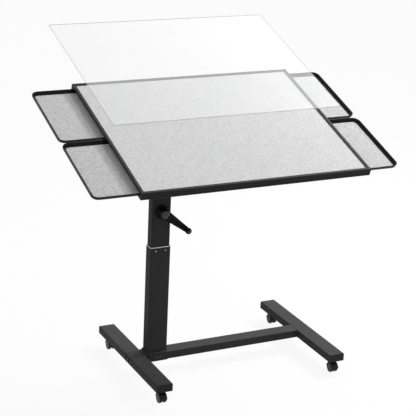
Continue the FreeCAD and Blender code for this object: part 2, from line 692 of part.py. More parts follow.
def crank_lever(hub_top):
    """Tapered arm with eased upper edges, its tip boss, and the pocket along it."""
    outline = [V(x, y, hub_top - ARM_T) for x, y in arm_outline()]
    arm = Part.Face(Part.makePolygon(outline + outline[:1])).extrude(V(0, 0, ARM_T))
    long_edges = [edge for edge in arm.Edges
                  if edge.BoundBox.ZMin > hub_top - SEAT and edge.BoundBox.XLength > ARM_T]
    arm = arm.makeChamfer(ARM_EDGE, long_edges)
    boss = rod(ARM_TIP_BOSS_D, ARM_T, V(CRANK_R, 0, hub_top - ARM_T))
    start = CRANK_R * GROOVE_START_SHARE
    end = CRANK_R * GROOVE_END_SHARE
    corner = GROOVE_TIP_W / 3
    pocket = Part.Face(arc_corner_wire([
        (start, -GROOVE_ROOT_W / 2, corner), (end, -GROOVE_TIP_W / 2, corner),
        (end, GROOVE_TIP_W / 2, corner), (start, GROOVE_ROOT_W / 2, corner)])).extrude(V(0, 0, ARM_T))
    pocket.translate(V(0, 0, hub_top - GROOVE_DEPTH))
    return arm.fuse(boss).cut(pocket)


def build_crank():
    """Shaft with its bevel pinion, the lever on its end, and the free turning knob."""
    pinion = bevel_gear(MESH_SHARE)
    pinion.rotate(ORIGIN, X_AXIS, -90)
    pinion.translate(SCREW_AXIS + V(0, 0, CRANK_Z))
    keep("crank_bevel_pinion", pinion)

    hub_under = HOUSING_L + SLIDE
    hub_top = hub_under + CRANK_HUB_T
    shaft_back = SCREW_BACK + INNER_D / 2 - PITCH_R * SMALL_END_SHARE
    shaft = rod(JOURNAL_D, hub_under + CRANK_HUB_T / 2 + shaft_back, V(0, 0, -shaft_back))
    keep("crank_shaft", to_crank(shaft))

    pin_foot = hub_top - ARM_T / 2
    bore = rod(JOURNAL_D + 2 * SEAT, CRANK_HUB_T / 2 + OVERRUN + SEAT, V(0, 0, hub_under - OVERRUN))
    pin_hole = rod(KNOB_PIN_D + 2 * SEAT, ARM_T, V(CRANK_R, 0, pin_foot - SEAT))
    handle = crank_hub(hub_under, hub_top).fuse(crank_lever(hub_top)).cut(bore).cut(pin_hole)
    keep("crank_arm", to_crank(handle.removeSplitter()))

    knob_under = hub_top + SLIDE
    pin_head = knob_under + KNOB_L + SLIDE
    keep("knob_pin", to_crank(revolve(
        [(0, pin_foot), (KNOB_PIN_D / 2, pin_foot), (KNOB_PIN_D / 2, pin_head), (KNOB_SCREW_D / 2, pin_head),
         (KNOB_SCREW_D / 2, pin_head + KNOB_SCREW_H), (0, pin_head + KNOB_SCREW_H)], V(CRANK_R, 0, 0))))

    inner = KNOB_PIN_D / 2 + RUN
    neck = KNOB_NECK_D / 2
    swell = KNOB_L * KNOB_SWELL_SHARE
    keep("crank_knob", to_crank(revolve(
        [(inner, 0), (neck, 0), (KNOB_D / 2, swell), (KNOB_D / 2, KNOB_L - swell), (neck, KNOB_L),
         (inner, KNOB_L)], V(CRANK_R, 0, knob_under))))


def plate_across(outline, x, thickness):
    """Plate whose (y, z, corner radius) outline stands across X, from x to x + thickness."""
    solid = Part.Face(arc_corner_wire(outline)).extrude(V(0, 0, thickness))
    turn = FreeCAD.Rotation(Y_AXIS, Z_AXIS, X_AXIS, "XYZ")
    solid.Placement = FreeCAD.Placement(V(x, 0, 0), turn)
    return solid


def build_head():
    """Bracket on the inner tube with two ears, the pivot bolt, its sleeve and the clamp stud."""
    pivot = COLUMN + V(0, 0, PIVOT_Z)
    bracket = [rounded_block(INNER_W, INNER_D, HEAD_PLATE_T, COLUMN_R, z=-HEAD_H - HEAD_PLATE_T)]
    outline = [(-EAR_FOOT_W / 2, -HEAD_H, 0), (EAR_FOOT_W / 2, -HEAD_H, 0),
               (EAR_TOP_R, EAR_TOP_R, EAR_TOP_R - SEAT), (-EAR_TOP_R, EAR_TOP_R, EAR_TOP_R - SEAT)]
    for x in (-EAR_SPAN / 2, EAR_SPAN / 2 - EAR_T):
        ear = plate_across(outline, x, EAR_T)
        ear = ear.cut(rod(PIVOT_D + 2 * RUN, 2 * EAR_T, V(x - EAR_T / 2, 0, 0), X_AXIS))
        bracket.append(ear.cut(rod(STUD_D + 2 * RUN, 2 * EAR_T, V(x - EAR_T / 2, 0, -STUD_R), X_AXIS)))
    keep("head_bracket", *[moved(solid, pivot) for solid in bracket])

    half = EAR_SPAN / 2 + CHEEK_GAP + CHEEK_T + SLIDE
    nut_h = NUT_H_SHARE * PIVOT_D
    bolts = [bolt(PIVOT_D, 2 * half + nut_h + SLIDE, V(half, 0, 0), X_AXIS * -1),
             hex_nut(PIVOT_D, V(-half, 0, 0), X_AXIS * -1)]
    keep("pivot_bolt", *[moved(solid, pivot) for solid in bolts])
    gap = EAR_SPAN - 2 * EAR_T
    sleeve = revolve([(PIVOT_D / 2 + RUN, SEAT), (PIVOT_D / 2 + EAR_T, SEAT), (PIVOT_D / 2 + EAR_T, gap - SEAT),
                      (PIVOT_D / 2 + RUN, gap - SEAT)], V(-gap / 2, 0, 0), X_AXIS)
    keep("pivot_sleeve", moved(sleeve, pivot))
    stud_l = 2 * half + CLAMP_HUB_H + CLAMP_KNOB_H / 2
    stud = hex_prism(NUT_AF_SHARE * STUD_D, NUT_H_SHARE * STUD_D, V(-half, 0, -STUD_R), X_AXIS * -1)
    stud = stud.fuse(rod(STUD_D, stud_l, V(-half, 0, -STUD_R), X_AXIS))
    keep("clamp_stud", moved(stud.removeSplitter(), pivot))
    keep("clamp_knob", moved(clamp_knob(half), pivot))


def clamp_knob(under):
    """Lobed hand knob on the clamp stud, open to the stud at its hub."""
    start = V(under, 0, -STUD_R)
    radius = CLAMP_KNOB_D / 2
    top = CLAMP_HUB_H + CLAMP_KNOB_H
    knob = revolve([(0, 0), (CLAMP_HUB_D / 2, 0), (CLAMP_HUB_D / 2, CLAMP_HUB_H), (radius, CLAMP_HUB_H),
                    (radius, top - CLAMP_EDGE), (radius - CLAMP_EDGE, top), (0, top)], start, X_AXIS)
    for i in range(CLAMP_LOBES):
        turn = math.radians(360 / CLAMP_LOBES * i)
        reach = radius + CLAMP_SCALLOP_R / 3
        at = V(under + CLAMP_HUB_H - SEAT, reach * math.cos(turn), reach * math.sin(turn) - STUD_R)
        knob = knob.cut(rod(2 * CLAMP_SCALLOP_R, CLAMP_KNOB_H + OVERRUN, at, X_AXIS))
    bore_l = OVERRUN + CLAMP_HUB_H + CLAMP_KNOB_H / 2 + SLIDE
    bore = rod(STUD_D + 2 * RUN, bore_l, start - X_AXIS * OVERRUN, X_AXIS)
    return knob.cut(bore)


def arc_slot(radius, width, start_angle, end_angle, x, length):
    """Curved slot round the X axis through the given plate; angles from +Y towards +Z."""
    outer = rod(2 * radius + width, length, V(x, 0, 0), X_AXIS)
    ring = outer.cut(rod(2 * radius - width, length, V(x, 0, 0), X_AXIS))
    far = 2 * radius
    points = [V(x, 0, 0)]
    steps = 6
    for i in range(steps + 1):
        turn = math.radians(start_angle + (end_angle - start_angle) * i / steps)
        points.append(V(x, far * math.cos(turn), far * math.sin(turn)))
    wedge = Part.Face(Part.makePolygon(points + points[:1])).extrude(V(length, 0, 0))
    slot = ring.common(wedge)
    for angle in (start_angle, end_angle):
        turn = math.radians(angle)
        slot = slot.fuse(rod(width, length, V(x, radius * math.cos(turn), radius * math.sin(turn)), X_AXIS))
    return slot


def bracket_screw_places():
    reach_x = BRACKET_W / 2 - BRACKET_SCREW_INSET
    reach_y = BRACKET_D / 2 - BRACKET_SCREW_INSET
    return [(COLUMN_SHIFT_X + side_x * reach_x, side_y * reach_y)
            for side_x in (-1, 1) for side_y in (-1, 1)]


def build_tilt_bracket():
    """Plate under the top with two cheeks: a pivot hole and an arc slot for the clamp stud each."""
    plate_under = PIVOT_UNDER_TOP - CHEEK_T
    plate = rounded_block(BRACKET_W, BRACKET_D, CHEEK_T, BRACKET_CORNER_R, COLUMN_SHIFT_X,
                          z=plate_under - PIVOT_DROP)
    screws = []
    for x, y in bracket_screw_places():
        at = V(x, y, plate_under - PIVOT_DROP)
        plate = plate.cut(rod(BRACKET_SCREW_D + 2 * SEAT, 2 * CHEEK_T, at - Z_AXIS * (CHEEK_T / 2)))
        screws.append(on_top(bolt(BRACKET_SCREW_D, CHEEK_T + BOTTOM_T, at, Z_AXIS)))
    outline = [(-CHEEK_R, plate_under, 0), (-CHEEK_R, -CHEEK_R, CHEEK_R * CHEEK_ROUND_SHARE),
               (CHEEK_BACK_W, -CHEEK_R, CHEEK_BACK_W / 2), (CHEEK_BACK_W, plate_under, 0)]
    solids = [plate]
    for x in (-EAR_SPAN / 2 - CHEEK_GAP - CHEEK_T, EAR_SPAN / 2 + CHEEK_GAP):
        cheek = plate_across(outline, x, CHEEK_T)
        cheek = cheek.cut(rod(PIVOT_D + 2 * RUN, 2 * CHEEK_T, V(x - CHEEK_T / 2, 0, 0), X_AXIS))
        cheek = cheek.cut(arc_slot(STUD_R, STUD_D + 2 * SLOT_PLAY, -90 - STEEP_ANGLE, -90 - FLAT_ANGLE,
                                   x - CHEEK_T / 2, 2 * CHEEK_T))
        solids.append(moved(cheek, V(COLUMN_SHIFT_X, 0, -PIVOT_DROP)))
    keep("tilt_bracket", *[on_top(solid) for solid in solids])
    keep("bracket_screws", *screws)


def panel_holes():
    """Holes in the bottom panel for the bracket's screws."""
    holes = [rod(BRACKET_SCREW_D + 2 * SEAT, BOTTOM_T + 2 * OVERRUN, V(x, y, -TOP_T - OVERRUN))
             for x, y in bracket_screw_places()]
    return Part.makeCompound(holes)


def rail(x0, x1, y0, y1, z0):
    """Bar of the frame whose long edges are eased."""
    bar = block(x0, x1, y0, y1, z0, 0.0)
    longest = max(x1 - x0, y1 - y0)
    edges = [edge for edge in bar.Edges if edge.Length > longest - SEAT]
    return bar.makeFillet(RAIL_EDGE_R, edges)


def build_top():
    """Frame rails, recessed board with felt, bottom panel and what guides the trays."""
    half_w = TOP_W / 2
    half_d = TOP_D / 2
    in_w = INNER_TOP_W / 2
    in_d = INNER_TOP_D / 2
    keep("front_rail", on_top(rail(-half_w, half_w, -half_d, -in_d, -TOP_T)))
    keep("back_rail", on_top(rail(-half_w, half_w, in_d, half_d, -TOP_T)))
    keep("left_lip", on_top(rail(-half_w, -in_w, -in_d, in_d, PANEL_UNDER)))
    keep("right_lip", on_top(rail(in_w, half_w, -in_d, in_d, PANEL_UNDER)))
    keep("top_board", on_top(block(-in_w, in_w, -in_d, in_d, PANEL_UNDER, PANEL_TOP)))
    keep("top_felt", on_top(block(-in_w, in_w, -in_d, in_d, PANEL_TOP, FELT_TOP)))
    panel = block(-half_w, half_w, -in_d, in_d, -TOP_T, BOTTOM_TOP)
    keep("bottom_panel", on_top(panel.cut(panel_holes())))
    keep("tray_divider", on_top(block(-half_w, half_w, -DIVIDER_T / 2, DIVIDER_T / 2, BOTTOM_TOP, PANEL_UNDER)))
    runner_y = TRAY_Y1 + TRAY_SIDE_GAP
    runners = [block(-half_w, half_w, runner_y, in_d, BOTTOM_TOP, PANEL_UNDER),
               block(-half_w, half_w, -in_d, -runner_y, BOTTOM_TOP, PANEL_UNDER)]
    keep("tray_runners", *[on_top(runner) for runner in runners])
    beam_x1 = half_w + TRAY_PROUD - TRAY_L - SEAT
    beams = []
    for side in (-1, 1):
        x0, x1 = sorted((side * (beam_x1 - BEAM_T), side * beam_x1))
        beams.append(block(x0, x1, DIVIDER_T / 2, runner_y, BOTTOM_TOP, PANEL_UNDER))
        beams.append(block(x0, x1, -runner_y, -DIVIDER_T / 2, BOTTOM_TOP, PANEL_UNDER))
    keep("cross_beams", *[on_top(beam) for beam in beams])


def tray_wire(inset, x1, height):
    """Plan of a right-hand back tray up to x1, drawn in by inset; only its outer corners are rounded."""
    radius = TRAY_CORNER_R - inset
    x0 = x1 - TRAY_L
    wire = arc_corner_wire([(x0 + inset, TRAY_Y0 + inset, 0), (x1 - inset, TRAY_Y0 + inset, radius),
                            (x1 - inset, TRAY_Y1 - inset, radius), (x0 + inset, TRAY_Y1 - inset, 0)])
    wire.translate(V(0, 0, height))
    return wire


def tray_shell(x1):
    """Shallow box whose walls lean in from its rim to its underside."""
    outside = Part.makeLoft([tray_wire(TRAY_DRAFT, x1, 0.0), tray_wire(0.0, x1, TRAY_H)], True, True)
    hollow = Part.makeLoft([tray_wire(tray_floor_inset(), x1, TRAY_FLOOR),
                            tray_wire(TRAY_WALL, x1, TRAY_H)], True, True)
    return outside.cut(hollow)


def tray_floor_inset():
    """From the rim's outline in to the foot of the tray's inner walls."""
    return TRAY_WALL + TRAY_DRAFT * (TRAY_H - TRAY_FLOOR) / TRAY_H


def mirrored(solid, side_x, side_y):
    copy = solid.copy()
    if side_x < 0:
        copy = copy.mirror(ORIGIN, X_AXIS)
    if side_y < 0:
        copy = copy.mirror(ORIGIN, Y_AXIS)
    return copy


def build_trays():
    for side, side_x, out in (("left", -1, TRAY_OUT_LEFT), ("right", 1, TRAY_OUT_RIGHT)):
        x1 = TOP_W / 2 + out
        shell = tray_shell(x1)
        felt_wire = tray_wire(tray_floor_inset() + TRAY_FELT_GAP, x1, TRAY_FLOOR)
        felt = Part.Face(felt_wire).extrude(V(0, 0, TRAY_FELT_T))
        for row, side_y in (("back", 1), ("front", -1)):
            for name, solid in (("_tray", shell), ("_tray_felt", felt)):
                placed = moved(mirrored(solid, side_x, side_y), V(0, 0, TRAY_UNDER))
                keep(side + "_" + row + name, on_top(placed))


def build_cover():
    sheet = rounded_block(COVER_W, COVER_D, COVER_T, COVER_CORNER_R)
    sheet.translate(V(COVER_SHIFT_X, COVER_SHIFT_D, COVER_UNDER))
    keep("clear_cover", on_top(sheet))


def caster_stem(x, y):
    """Threaded stem through the foot's wall, a hexagon under it, and the swivel pin below."""
    under = V(x, y, CASTER_H)
    pin_l = swivel_pin_length()
    stem = rod(STEM_D, pin_l + STEM_HEX_H + STEM_THREAD_L, under - Z_AXIS * (STEM_HEX_H + pin_l))
    return stem.fuse(hex_prism(STEM_HEX, STEM_HEX_H, under - Z_AXIS * STEM_HEX_H)).removeSplitter()


def swivel_pin_length():
    return CASTER_H - STEM_HEX_H - HOOD_TOP + HOOD_GAP


def caster_housing(x, y):
    """Collar on the stem, web between the wheels, and the hood over them; wheels trail to -Y."""
    centre = V(x, y - TRAIL, WHEEL_D / 2)
    hood_in = WHEEL_D / 2 + HOOD_GAP
    hood_out = hood_in + HOOD_T
    width = WEB_T + 2 * (WHEEL_W + WHEEL_SIDE_GAP)
    left = centre - X_AXIS * (width / 2)
    body = rod(2 * hood_out, width, left, X_AXIS)
    body = body.fuse(rod(COLLAR_D, COLLAR_TOP - WHEEL_D / 2, V(x, y, WHEEL_D / 2)))
    body = body.cut(rod(2 * hood_in, width, left, X_AXIS))
    body = body.cut(block(x - width, x + width, centre.y - 2 * hood_out, centre.y + 2 * hood_out,
                          -WHEEL_D, WHEEL_D / 2))
    web = rod(2 * WEB_R, WEB_T, centre - X_AXIS * (WEB_T / 2), X_AXIS)
    web = web.fuse(block(x - WEB_T / 2, x + WEB_T / 2, centre.y - WEB_R, centre.y + WEB_R,
                         WHEEL_D / 2, WHEEL_D / 2 + hood_in - HOOD_T))
    crown = block(x - WEB_T / 2, x + WEB_T / 2, centre.y - hood_in, centre.y + hood_in, WHEEL_D / 2, WHEEL_D)
    crown = crown.common(rod(hood_in + hood_out, WEB_T, centre - X_AXIS * (WEB_T / 2), X_AXIS))
    body = body.fuse([web, crown])
    bore_z = CASTER_H - STEM_HEX_H - swivel_pin_length() - SWIVEL_GAP
    body = body.cut(rod(STEM_D + 2 * RUN, CASTER_H, V(x, y, bore_z)))
    return body.cut(rod(AXLE_D + 2 * RUN, 2 * width, centre - X_AXIS * width, X_AXIS)).removeSplitter()


def caster_wheels(x, y):
    """Two dished wheels in one turned piece with the axle that joins them."""
    radius = WHEEL_D / 2
    inner = WEB_T / 2 + WHEEL_SIDE_GAP
    outer = inner + WHEEL_W
    rim_r = radius - WHEEL_RIM_T
    half = [(AXLE_D / 2, inner), (radius, inner), (radius, outer - WHEEL_EDGE_R), (radius - WHEEL_EDGE_R, outer),
            (rim_r, outer), (rim_r, outer - WHEEL_DISH), (0, outer - WHEEL_DISH)]
    profile = half + [(r, -h) for r, h in reversed(half)]
    return revolve(profile, V(x, y - TRAIL, WHEEL_D / 2), X_AXIS)


def build_casters():
    stems = []
    front, back = caster_rows()
    for name, x, y in (("left_front", FOOT_LEFT_X, front), ("left_back", FOOT_LEFT_X, back),
                       ("right_front", FOOT_RIGHT_X, front), ("right_back", FOOT_RIGHT_X, back)):
        stems.append(caster_stem(x, y))
        keep(name + "_caster_housing", caster_housing(x, y))
        keep(name + "_caster_wheels", caster_wheels(x, y))
    keep("caster_stems", *stems)


def main():
    build_base()
    build_outer_column()
    build_inner_column()
    build_crank_housing()
    build_screw()
    build_crank()
    build_head()
    build_tilt_bracket()
    build_top()
    build_trays()
    build_cover()
    build_casters()
    os.makedirs("parts", exist_ok=True)
    for name, solids in PARTS.items():
        shape = solids[0] if len(solids) == 1 else Part.makeCompound(solids)
        shape.exportStep("parts/" + name + ".step")


main()
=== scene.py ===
import json
import math

import bpy
from mathutils import Matrix, Vector


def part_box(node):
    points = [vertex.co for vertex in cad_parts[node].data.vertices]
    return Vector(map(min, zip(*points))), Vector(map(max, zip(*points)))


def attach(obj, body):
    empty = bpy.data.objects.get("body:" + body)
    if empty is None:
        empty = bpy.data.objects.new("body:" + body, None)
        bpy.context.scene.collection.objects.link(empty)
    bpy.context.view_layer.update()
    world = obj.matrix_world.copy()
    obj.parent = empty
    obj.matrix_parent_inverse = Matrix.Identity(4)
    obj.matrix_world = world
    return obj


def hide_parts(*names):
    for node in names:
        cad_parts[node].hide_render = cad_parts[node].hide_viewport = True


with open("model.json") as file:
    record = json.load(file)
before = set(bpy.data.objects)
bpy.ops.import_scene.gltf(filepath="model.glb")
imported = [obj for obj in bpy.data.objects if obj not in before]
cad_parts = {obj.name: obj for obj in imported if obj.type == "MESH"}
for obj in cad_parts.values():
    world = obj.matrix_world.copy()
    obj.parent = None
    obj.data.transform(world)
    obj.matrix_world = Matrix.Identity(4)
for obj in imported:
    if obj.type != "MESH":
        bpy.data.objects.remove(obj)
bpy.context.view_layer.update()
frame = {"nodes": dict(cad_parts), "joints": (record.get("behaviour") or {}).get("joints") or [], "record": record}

# Looks of the jigsaw table. Sizes are in millimetres, and a Shape turns them into metres.
# X runs to the right, -Y faces the person at the table, Z is up.
# A section is a row of (radius or inset, height) pairs.

MM = 0.001

# Camera, in metres, from a fit to the photograph
CAMERA_PLACE = (-2.1479, -4.2140, 2.2558)
CAMERA_AZIMUTH = -26.88
CAMERA_ELEVATION = 18.96
CAMERA_ROLL = 2.71
CAMERA_LENS = 116.22
SENSOR_WIDTH = 36.0

# Light, with places and sizes in metres
AMBIENT = 0.36
SUN_STRENGTH = 1.15
SUN_ANGLE = 22.0
SUN_DIRECTION = (0.62, 0.36, 0.80)
SUN_AWAY = 4
KEY_PLACE = (-3.2, -3.4, 4.4)
KEY_TARGET = (-0.2, 0.0, 0.6)
KEY_SIZE = 0.6
KEY_POWER = 20.0
WINDOW_PLACE = (2.5, 0.3, 2.6)
WINDOW_TARGET = (0.2, 0.0, 0.9)
WINDOW_SIZE = 0.5
WINDOW_POWER = 68.0
FLOOR_HALF = 30.0
FLOOR_SHARE = 0.92
WHITE = (1.0, 1.0, 1.0, 1.0)

# The top: heights are counted from its rims, which lie PIVOT_DROP above the pivot
TOP_W = 900.0
TOP_D = 700.0
TILT_ANGLE = 18.0
PIVOT_DROP = 55.0
RAIL_T = 12.0
FELT_TOP = -4.0
FELT_T = 1.0
FELT_EDGE = 0.35
COVER_W = 868.0
COVER_D = 668.0
COVER_T = 2.5
COVER_X = -100.0
COVER_S = 106.0
COVER_UNDER = 198.2
COVER_CORNER_R = 4.0
COVER_EDGE = 0.35

# Trays
TRAY_L = 330.0
TRAY_OUT_LEFT = 166.5
TRAY_OUT_RIGHT = 136.5
TRAY_Y0 = 6.0
TRAY_Y1 = 332.0
TRAY_TOP = -11.0
TRAY_H = 14.0
TRAY_DRAFT = 5.0
TRAY_WALL = 3.0
TRAY_INNER_LEAN = 4.0
TRAY_FLOOR = 2.0
TRAY_CORNER_R = 28.0
TRAY_SHARP_R = 1.2
TRAY_RIM_R = 1.1
TRAY_FOOT_R = 1.6
TRAY_COVE_R = 7.0
TRAY_FELT_GAP = 0.4
TRAY_SIDE_SHARES = (0.9, 0.75, 0.6, 0.45, 0.3, 0.15)

# Crank, in its own frame: arm along X, shaft along Z towards the user
CRANK_ANGLE = -38.0
CRANK_R = 113.0
HOUSING_D = 52.0
HOUSING_L = 17.0
HOUSING_BORE_R = 7.2
HOUSING_EDGE = 1.0
HOUSING_RIM_R = 2.4
HOUSING_RIM_Z = 3.6
HOUSING_STEP = 4.4
HOUSING_STEP_Z = 6.1
HOUSING_COVE_R = 1.0
HOUSING_NECK = ((18.4, 12.0), (17.6, 15.8))
HOUSING_NOSE_R = 1.2
HUB_D = 38.0
HUB_UNDER = 17.2
HUB_TOP = 35.2
HUB_EDGE = 1.5
HUB_DOME = 5.0
HUB_DOME_FOOT = 3.0
HUB_DOME_STEPS = 11
HUB_DOME_BULGE = 0.55
HUB_DOME_RISE = 1.15
HUB_CENTRE_R = 1.2
HUB_CENTRE_DIP = 0.02
HUB_SHADE_ROWS = 7
ARM_T = 12.0
ARM_ROOT_R = 18.0
ARM_TIP_R = 10.2
ARM_ROUND = 3.0
ARM_UNDER_R = 2.0
BOSS_PROUD = 0.2
BOSS_EDGE = 1.0
BOSS_ROUND = 1.2
POCKET_X0 = 31.0
POCKET_X1 = 90.0
POCKET_ROOT_R = 8.0
POCKET_TIP_R = 5.2
POCKET_DEPTH = 5.0
POCKET_BEAD = ((-1.0, 0.0), (-0.3, -0.3), (0.0, -1.0))
POCKET_WALL = ((0.5, 0.5 - POCKET_DEPTH), (1.2, -POCKET_DEPTH))
POCKET_STRIPS = 3
BEAD_STRIPS = 2
KNOB_D = 24.0
KNOB_L = 22.0
KNOB_UNDER = 35.4
KNOB_NECK = ((5.6, 0.0), (6.6, 0.5))
KNOB_SWELL_ANGLE = 62.0
KNOB_SWELL_STEPS = 16
KNOB_SWELL_REACH = 1.4
KNOB_SWELL_SHARE = 0.98
KNOB_SWELL_POWER = 0.9
KNOB_END = ((7.6, -0.3), (6.9, 0.0), (6.3, 0.0), (6.0, -0.5))
KNOB_PIN_D = 6.0
KNOB_PIN_PLAY = 0.05
KNOB_SCREW_D = 10.0
KNOB_SCREW_H = 2.0
KNOB_SCREW_GAP = 0.2
KNOB_SCREW_EDGE = 0.3
KNOB_SCREW_ROUND = 0.9
KNOB_CROSS_ARM = 3.1
KNOB_CROSS_SLOT = 0.75
KNOB_CROSS_FLOOR = 0.5

# Clamp knob
CLAMP_D = 38.0
CLAMP_H = 18.0
CLAMP_HUB_D = 18.0
CLAMP_HUB_H = 4.0
CLAMP_LOBES = 5
CLAMP_LOBE_DEPTH = 3.4
CLAMP_LOBE_POWER = 3
CLAMP_BORE_D = 8.0
CLAMP_EDGE = 0.6
CLAMP_SKIRT = ((1.6, 0.0), (0.4, 0.5), (0.0, 1.6))
CLAMP_CROWN = ((0.0, -4.2), (0.35, -2.6), (1.3, -1.2), (3.0, -0.35), (5.0, 0.0))
CLAMP_DISH = ((8.6, 0.0), (8.0, -0.8), (3.0, -0.9))
CLAMP_STEPS = 120

# Casters
WHEEL_D = 36.0
WHEEL_W = 10.5
WHEEL_GAP = 4.1
WHEEL_ROUND = 2.2
WHEEL_BACK_R = 1.2
WHEEL_BORE_R = 4.0
WHEEL_RIM_W = 4.4
WHEEL_LIP = 0.2
WHEEL_LIP_DROP = 0.3
WHEEL_DISH = 1.6
WHEEL_DISH_BACK = 1.0
WHEEL_GROOVE = (0.7, 0.2)
HUB_CAP = ((11.5, 0.0), (11.5, 0.6), (11.0, 1.0), (5.6, 1.25), (4.0, 0.8), (4.0, 1.1), (3.2, 1.5))
AXLE_D = 5.0
AXLE_REACH = 5.1
AXLE_STEPS = 24
HOOD_GAP = 1.2
HOOD_T = 2.0
HOOD_W = 29.2
HOOD_ROUND = 0.8
HOOD_STEPS = 40
WEB_T = 7.0
WEB_R = 13.0
WEB_EDGE = 0.6
BLOCK_CORNER_R = 1.0
BLOCK_LEAST_R = 0.4
BLOCK_SINK = 2.4
BLOCK_EDGE = 1.0
BLOCK_LEAN = 0.3
COLLAR_D = 20.0
COLLAR_TOP = 48.1
COLLAR_FLARE = 3.0
COLLAR_SINK = 3.0
COLLAR_FOOT = 0.8
COLLAR_CROWN = ((0.0, -1.2), (0.35, -0.35), (1.2, 0.0))
COLLAR_PLAY = 0.05
COLLAR_BORE_L = 6.0
STEM_D = 8.0
STEM_EDGE = 0.5
STEM_HEX = 14.0
STEM_HEX_H = 3.5
STEM_PIN_L = 10.5
STEM_THREAD_L = 10.0

# Feet, saddle and column
TUBE_R = 3.0
CAP_T = 3.0
CAP_PLUG_L = 14.0
CAP_WALL = 1.6
CAP_LEAD = (0.8, 1.5)
CAP_CROWN = ((0.0, -1.6), (0.25, -0.9), (0.8, -0.35), (2.2, -0.12), (6.0, 0.0))
CAP_LEAST_R = 0.6
COLUMN_R = 4.0
WELD_R = 1.5
WELD_BITE = 0.2
WELD_STEPS = 6

# Lifting screw
SCREW_D = 12.0
SCREW_CORE_D = 9.6
SCREW_LEAD = 8.0
SCREW_STARTS = 2
SCREW_JOURNAL_D = 8.0
SCREW_PLATE_GAP = 0.1
SCREW_TIP_EDGE = 1.0
SCREW_SHOULDER_H = 6.0
SCREW_SHOULDER_EDGE = 0.4
SCREW_JOURNAL_EDGE = 0.5
THREAD_FROM_TIP = 3.0
THREAD_FROM_SHOULDER = 8.0
THREAD_SINK = 0.2
THREAD_FOOT_SHARE = 0.7
THREAD_CREST_SHARE = 0.4
THREAD_STEPS = 20

# Bolts and screws: diameter of the thread, length, distance between a pair
PIVOT_BOLT_D = 10.0
FOOT_BOLT_D = 8.0
FOOT_BOLT_L = 72.0
FOOT_BOLT_PITCH = 30.0
SADDLE_BOLT_D = 6.0
SADDLE_BOLT_PITCH = 16.0
LINER_SCREW_D = 4.0
LINER_SCREW_L = 2.8
LINER_SCREW_PITCH = 38.0
BRACKET_SCREW_D = 5.0
BRACKET_SCREW_L = 5.5
BRACKET_SCREW_PITCH = (268.0, 168.0)
BRACKET_UNDER = 24.0

# Sizes as shares of the thread's diameter
HEAD_D_SHARE = 1.75
HEAD_H_SHARE = 0.55
SOCKET_SHARE = 0.8
SOCKET_DEPTH_SHARE = 0.3
NUT_AF_SHARE = 1.65
NUT_H_SHARE = 0.8
THREAD_PITCH_SHARE = 0.15
THREAD_DEPTH_SHARE = 0.08
CROSS_ARM_SHARE = 0.32
CROSS_SLOT_SHARE = 0.075

# Shares of a length, a head, a nut and an edge, and a thread's (depth, place) shares of one turn
EASE_SHARE = 0.3
THREADED_SHARE = 0.8
HEAD_EASE_SHARE = 0.3
HEAD_DOME_SHARE = 0.25
HEAD_FACE_SHARE = 0.62
NUT_EASE_SHARE = 0.1
NUT_CHAMFER_SHARE = 1.06
NUT_FACE_SHARE = 0.95
NUT_BORE_SHARE = 0.7
BOLT_THREAD = ((1.0, 0.25), (0.0, 0.75))
STEM_THREAD = ((1.0, 0.2), (0.0, 0.5), (1.0, 0.8))

# Smoothness: steps round a piece, and the angle up to which an edge is shaded as round
BOLT_STEPS = 48
STEM_STEPS = 32
ROUND_STEPS = 64
FINE_STEPS = 96
CORNER_STEPS = 10
SMOOTH_ANGLE = 32.0
SMOOTH_LEVER = 38.0
SMOOTH_WHEEL = 38.0
SMOOTH_ROUND = 40.0
SMOOTH_TRAY = 50.0
SMOOTH_WELD = 60.0
BEVEL_SAMPLES = 6

UP = Vector((0, 0, 1))
CORNERS = (("left_back", -1, 1), ("left_front", -1, -1), ("right_back", 1, 1), ("right_front", 1, -1))


def joint_place(name):
    """Place of a joint in millimetres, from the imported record."""
    for joint in frame["joints"]:
        if joint["name"] == name:
            return Vector(joint["pos_m"]) / MM
    raise ValueError(name)


def box(node):
    """Lowest and highest corner of a node at rest, in millimetres."""
    low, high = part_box(node)
    return low / MM, high / MM


def middle(node):
    low, high = box(node)
    return (low + high) / 2


PIVOT = joint_place("tilt")
TOP_X = middle("top_board").x
TOP = (Matrix.Translation((TOP_X, PIVOT.y, PIVOT.z)) @ Matrix.Rotation(math.radians(TILT_ANGLE), 4, "X")
       @ Matrix.Translation((0, 0, PIVOT_DROP)))
CRANK = (Matrix.Translation(joint_place("crank_turn")) @ Matrix.Rotation(math.radians(90), 4, "X")
         @ Matrix.Rotation(math.radians(CRANK_ANGLE), 4, "Z"))
CRANK_TIP = CRANK @ Matrix.Translation((CRANK_R, 0, 0))


def to_scene(name, data):
    """A new object in the scene that shows this mesh, light or camera."""
    made = bpy.data.objects.new(name, data)
    bpy.context.scene.collection.objects.link(made)
    return made


def facing(origin, direction):
    """Matrix that sets the Z axis along direction at origin."""
    turn = Vector(direction).to_track_quat("Z", "Y").to_matrix().to_4x4()
    return Matrix.Translation(Vector(origin)) @ turn


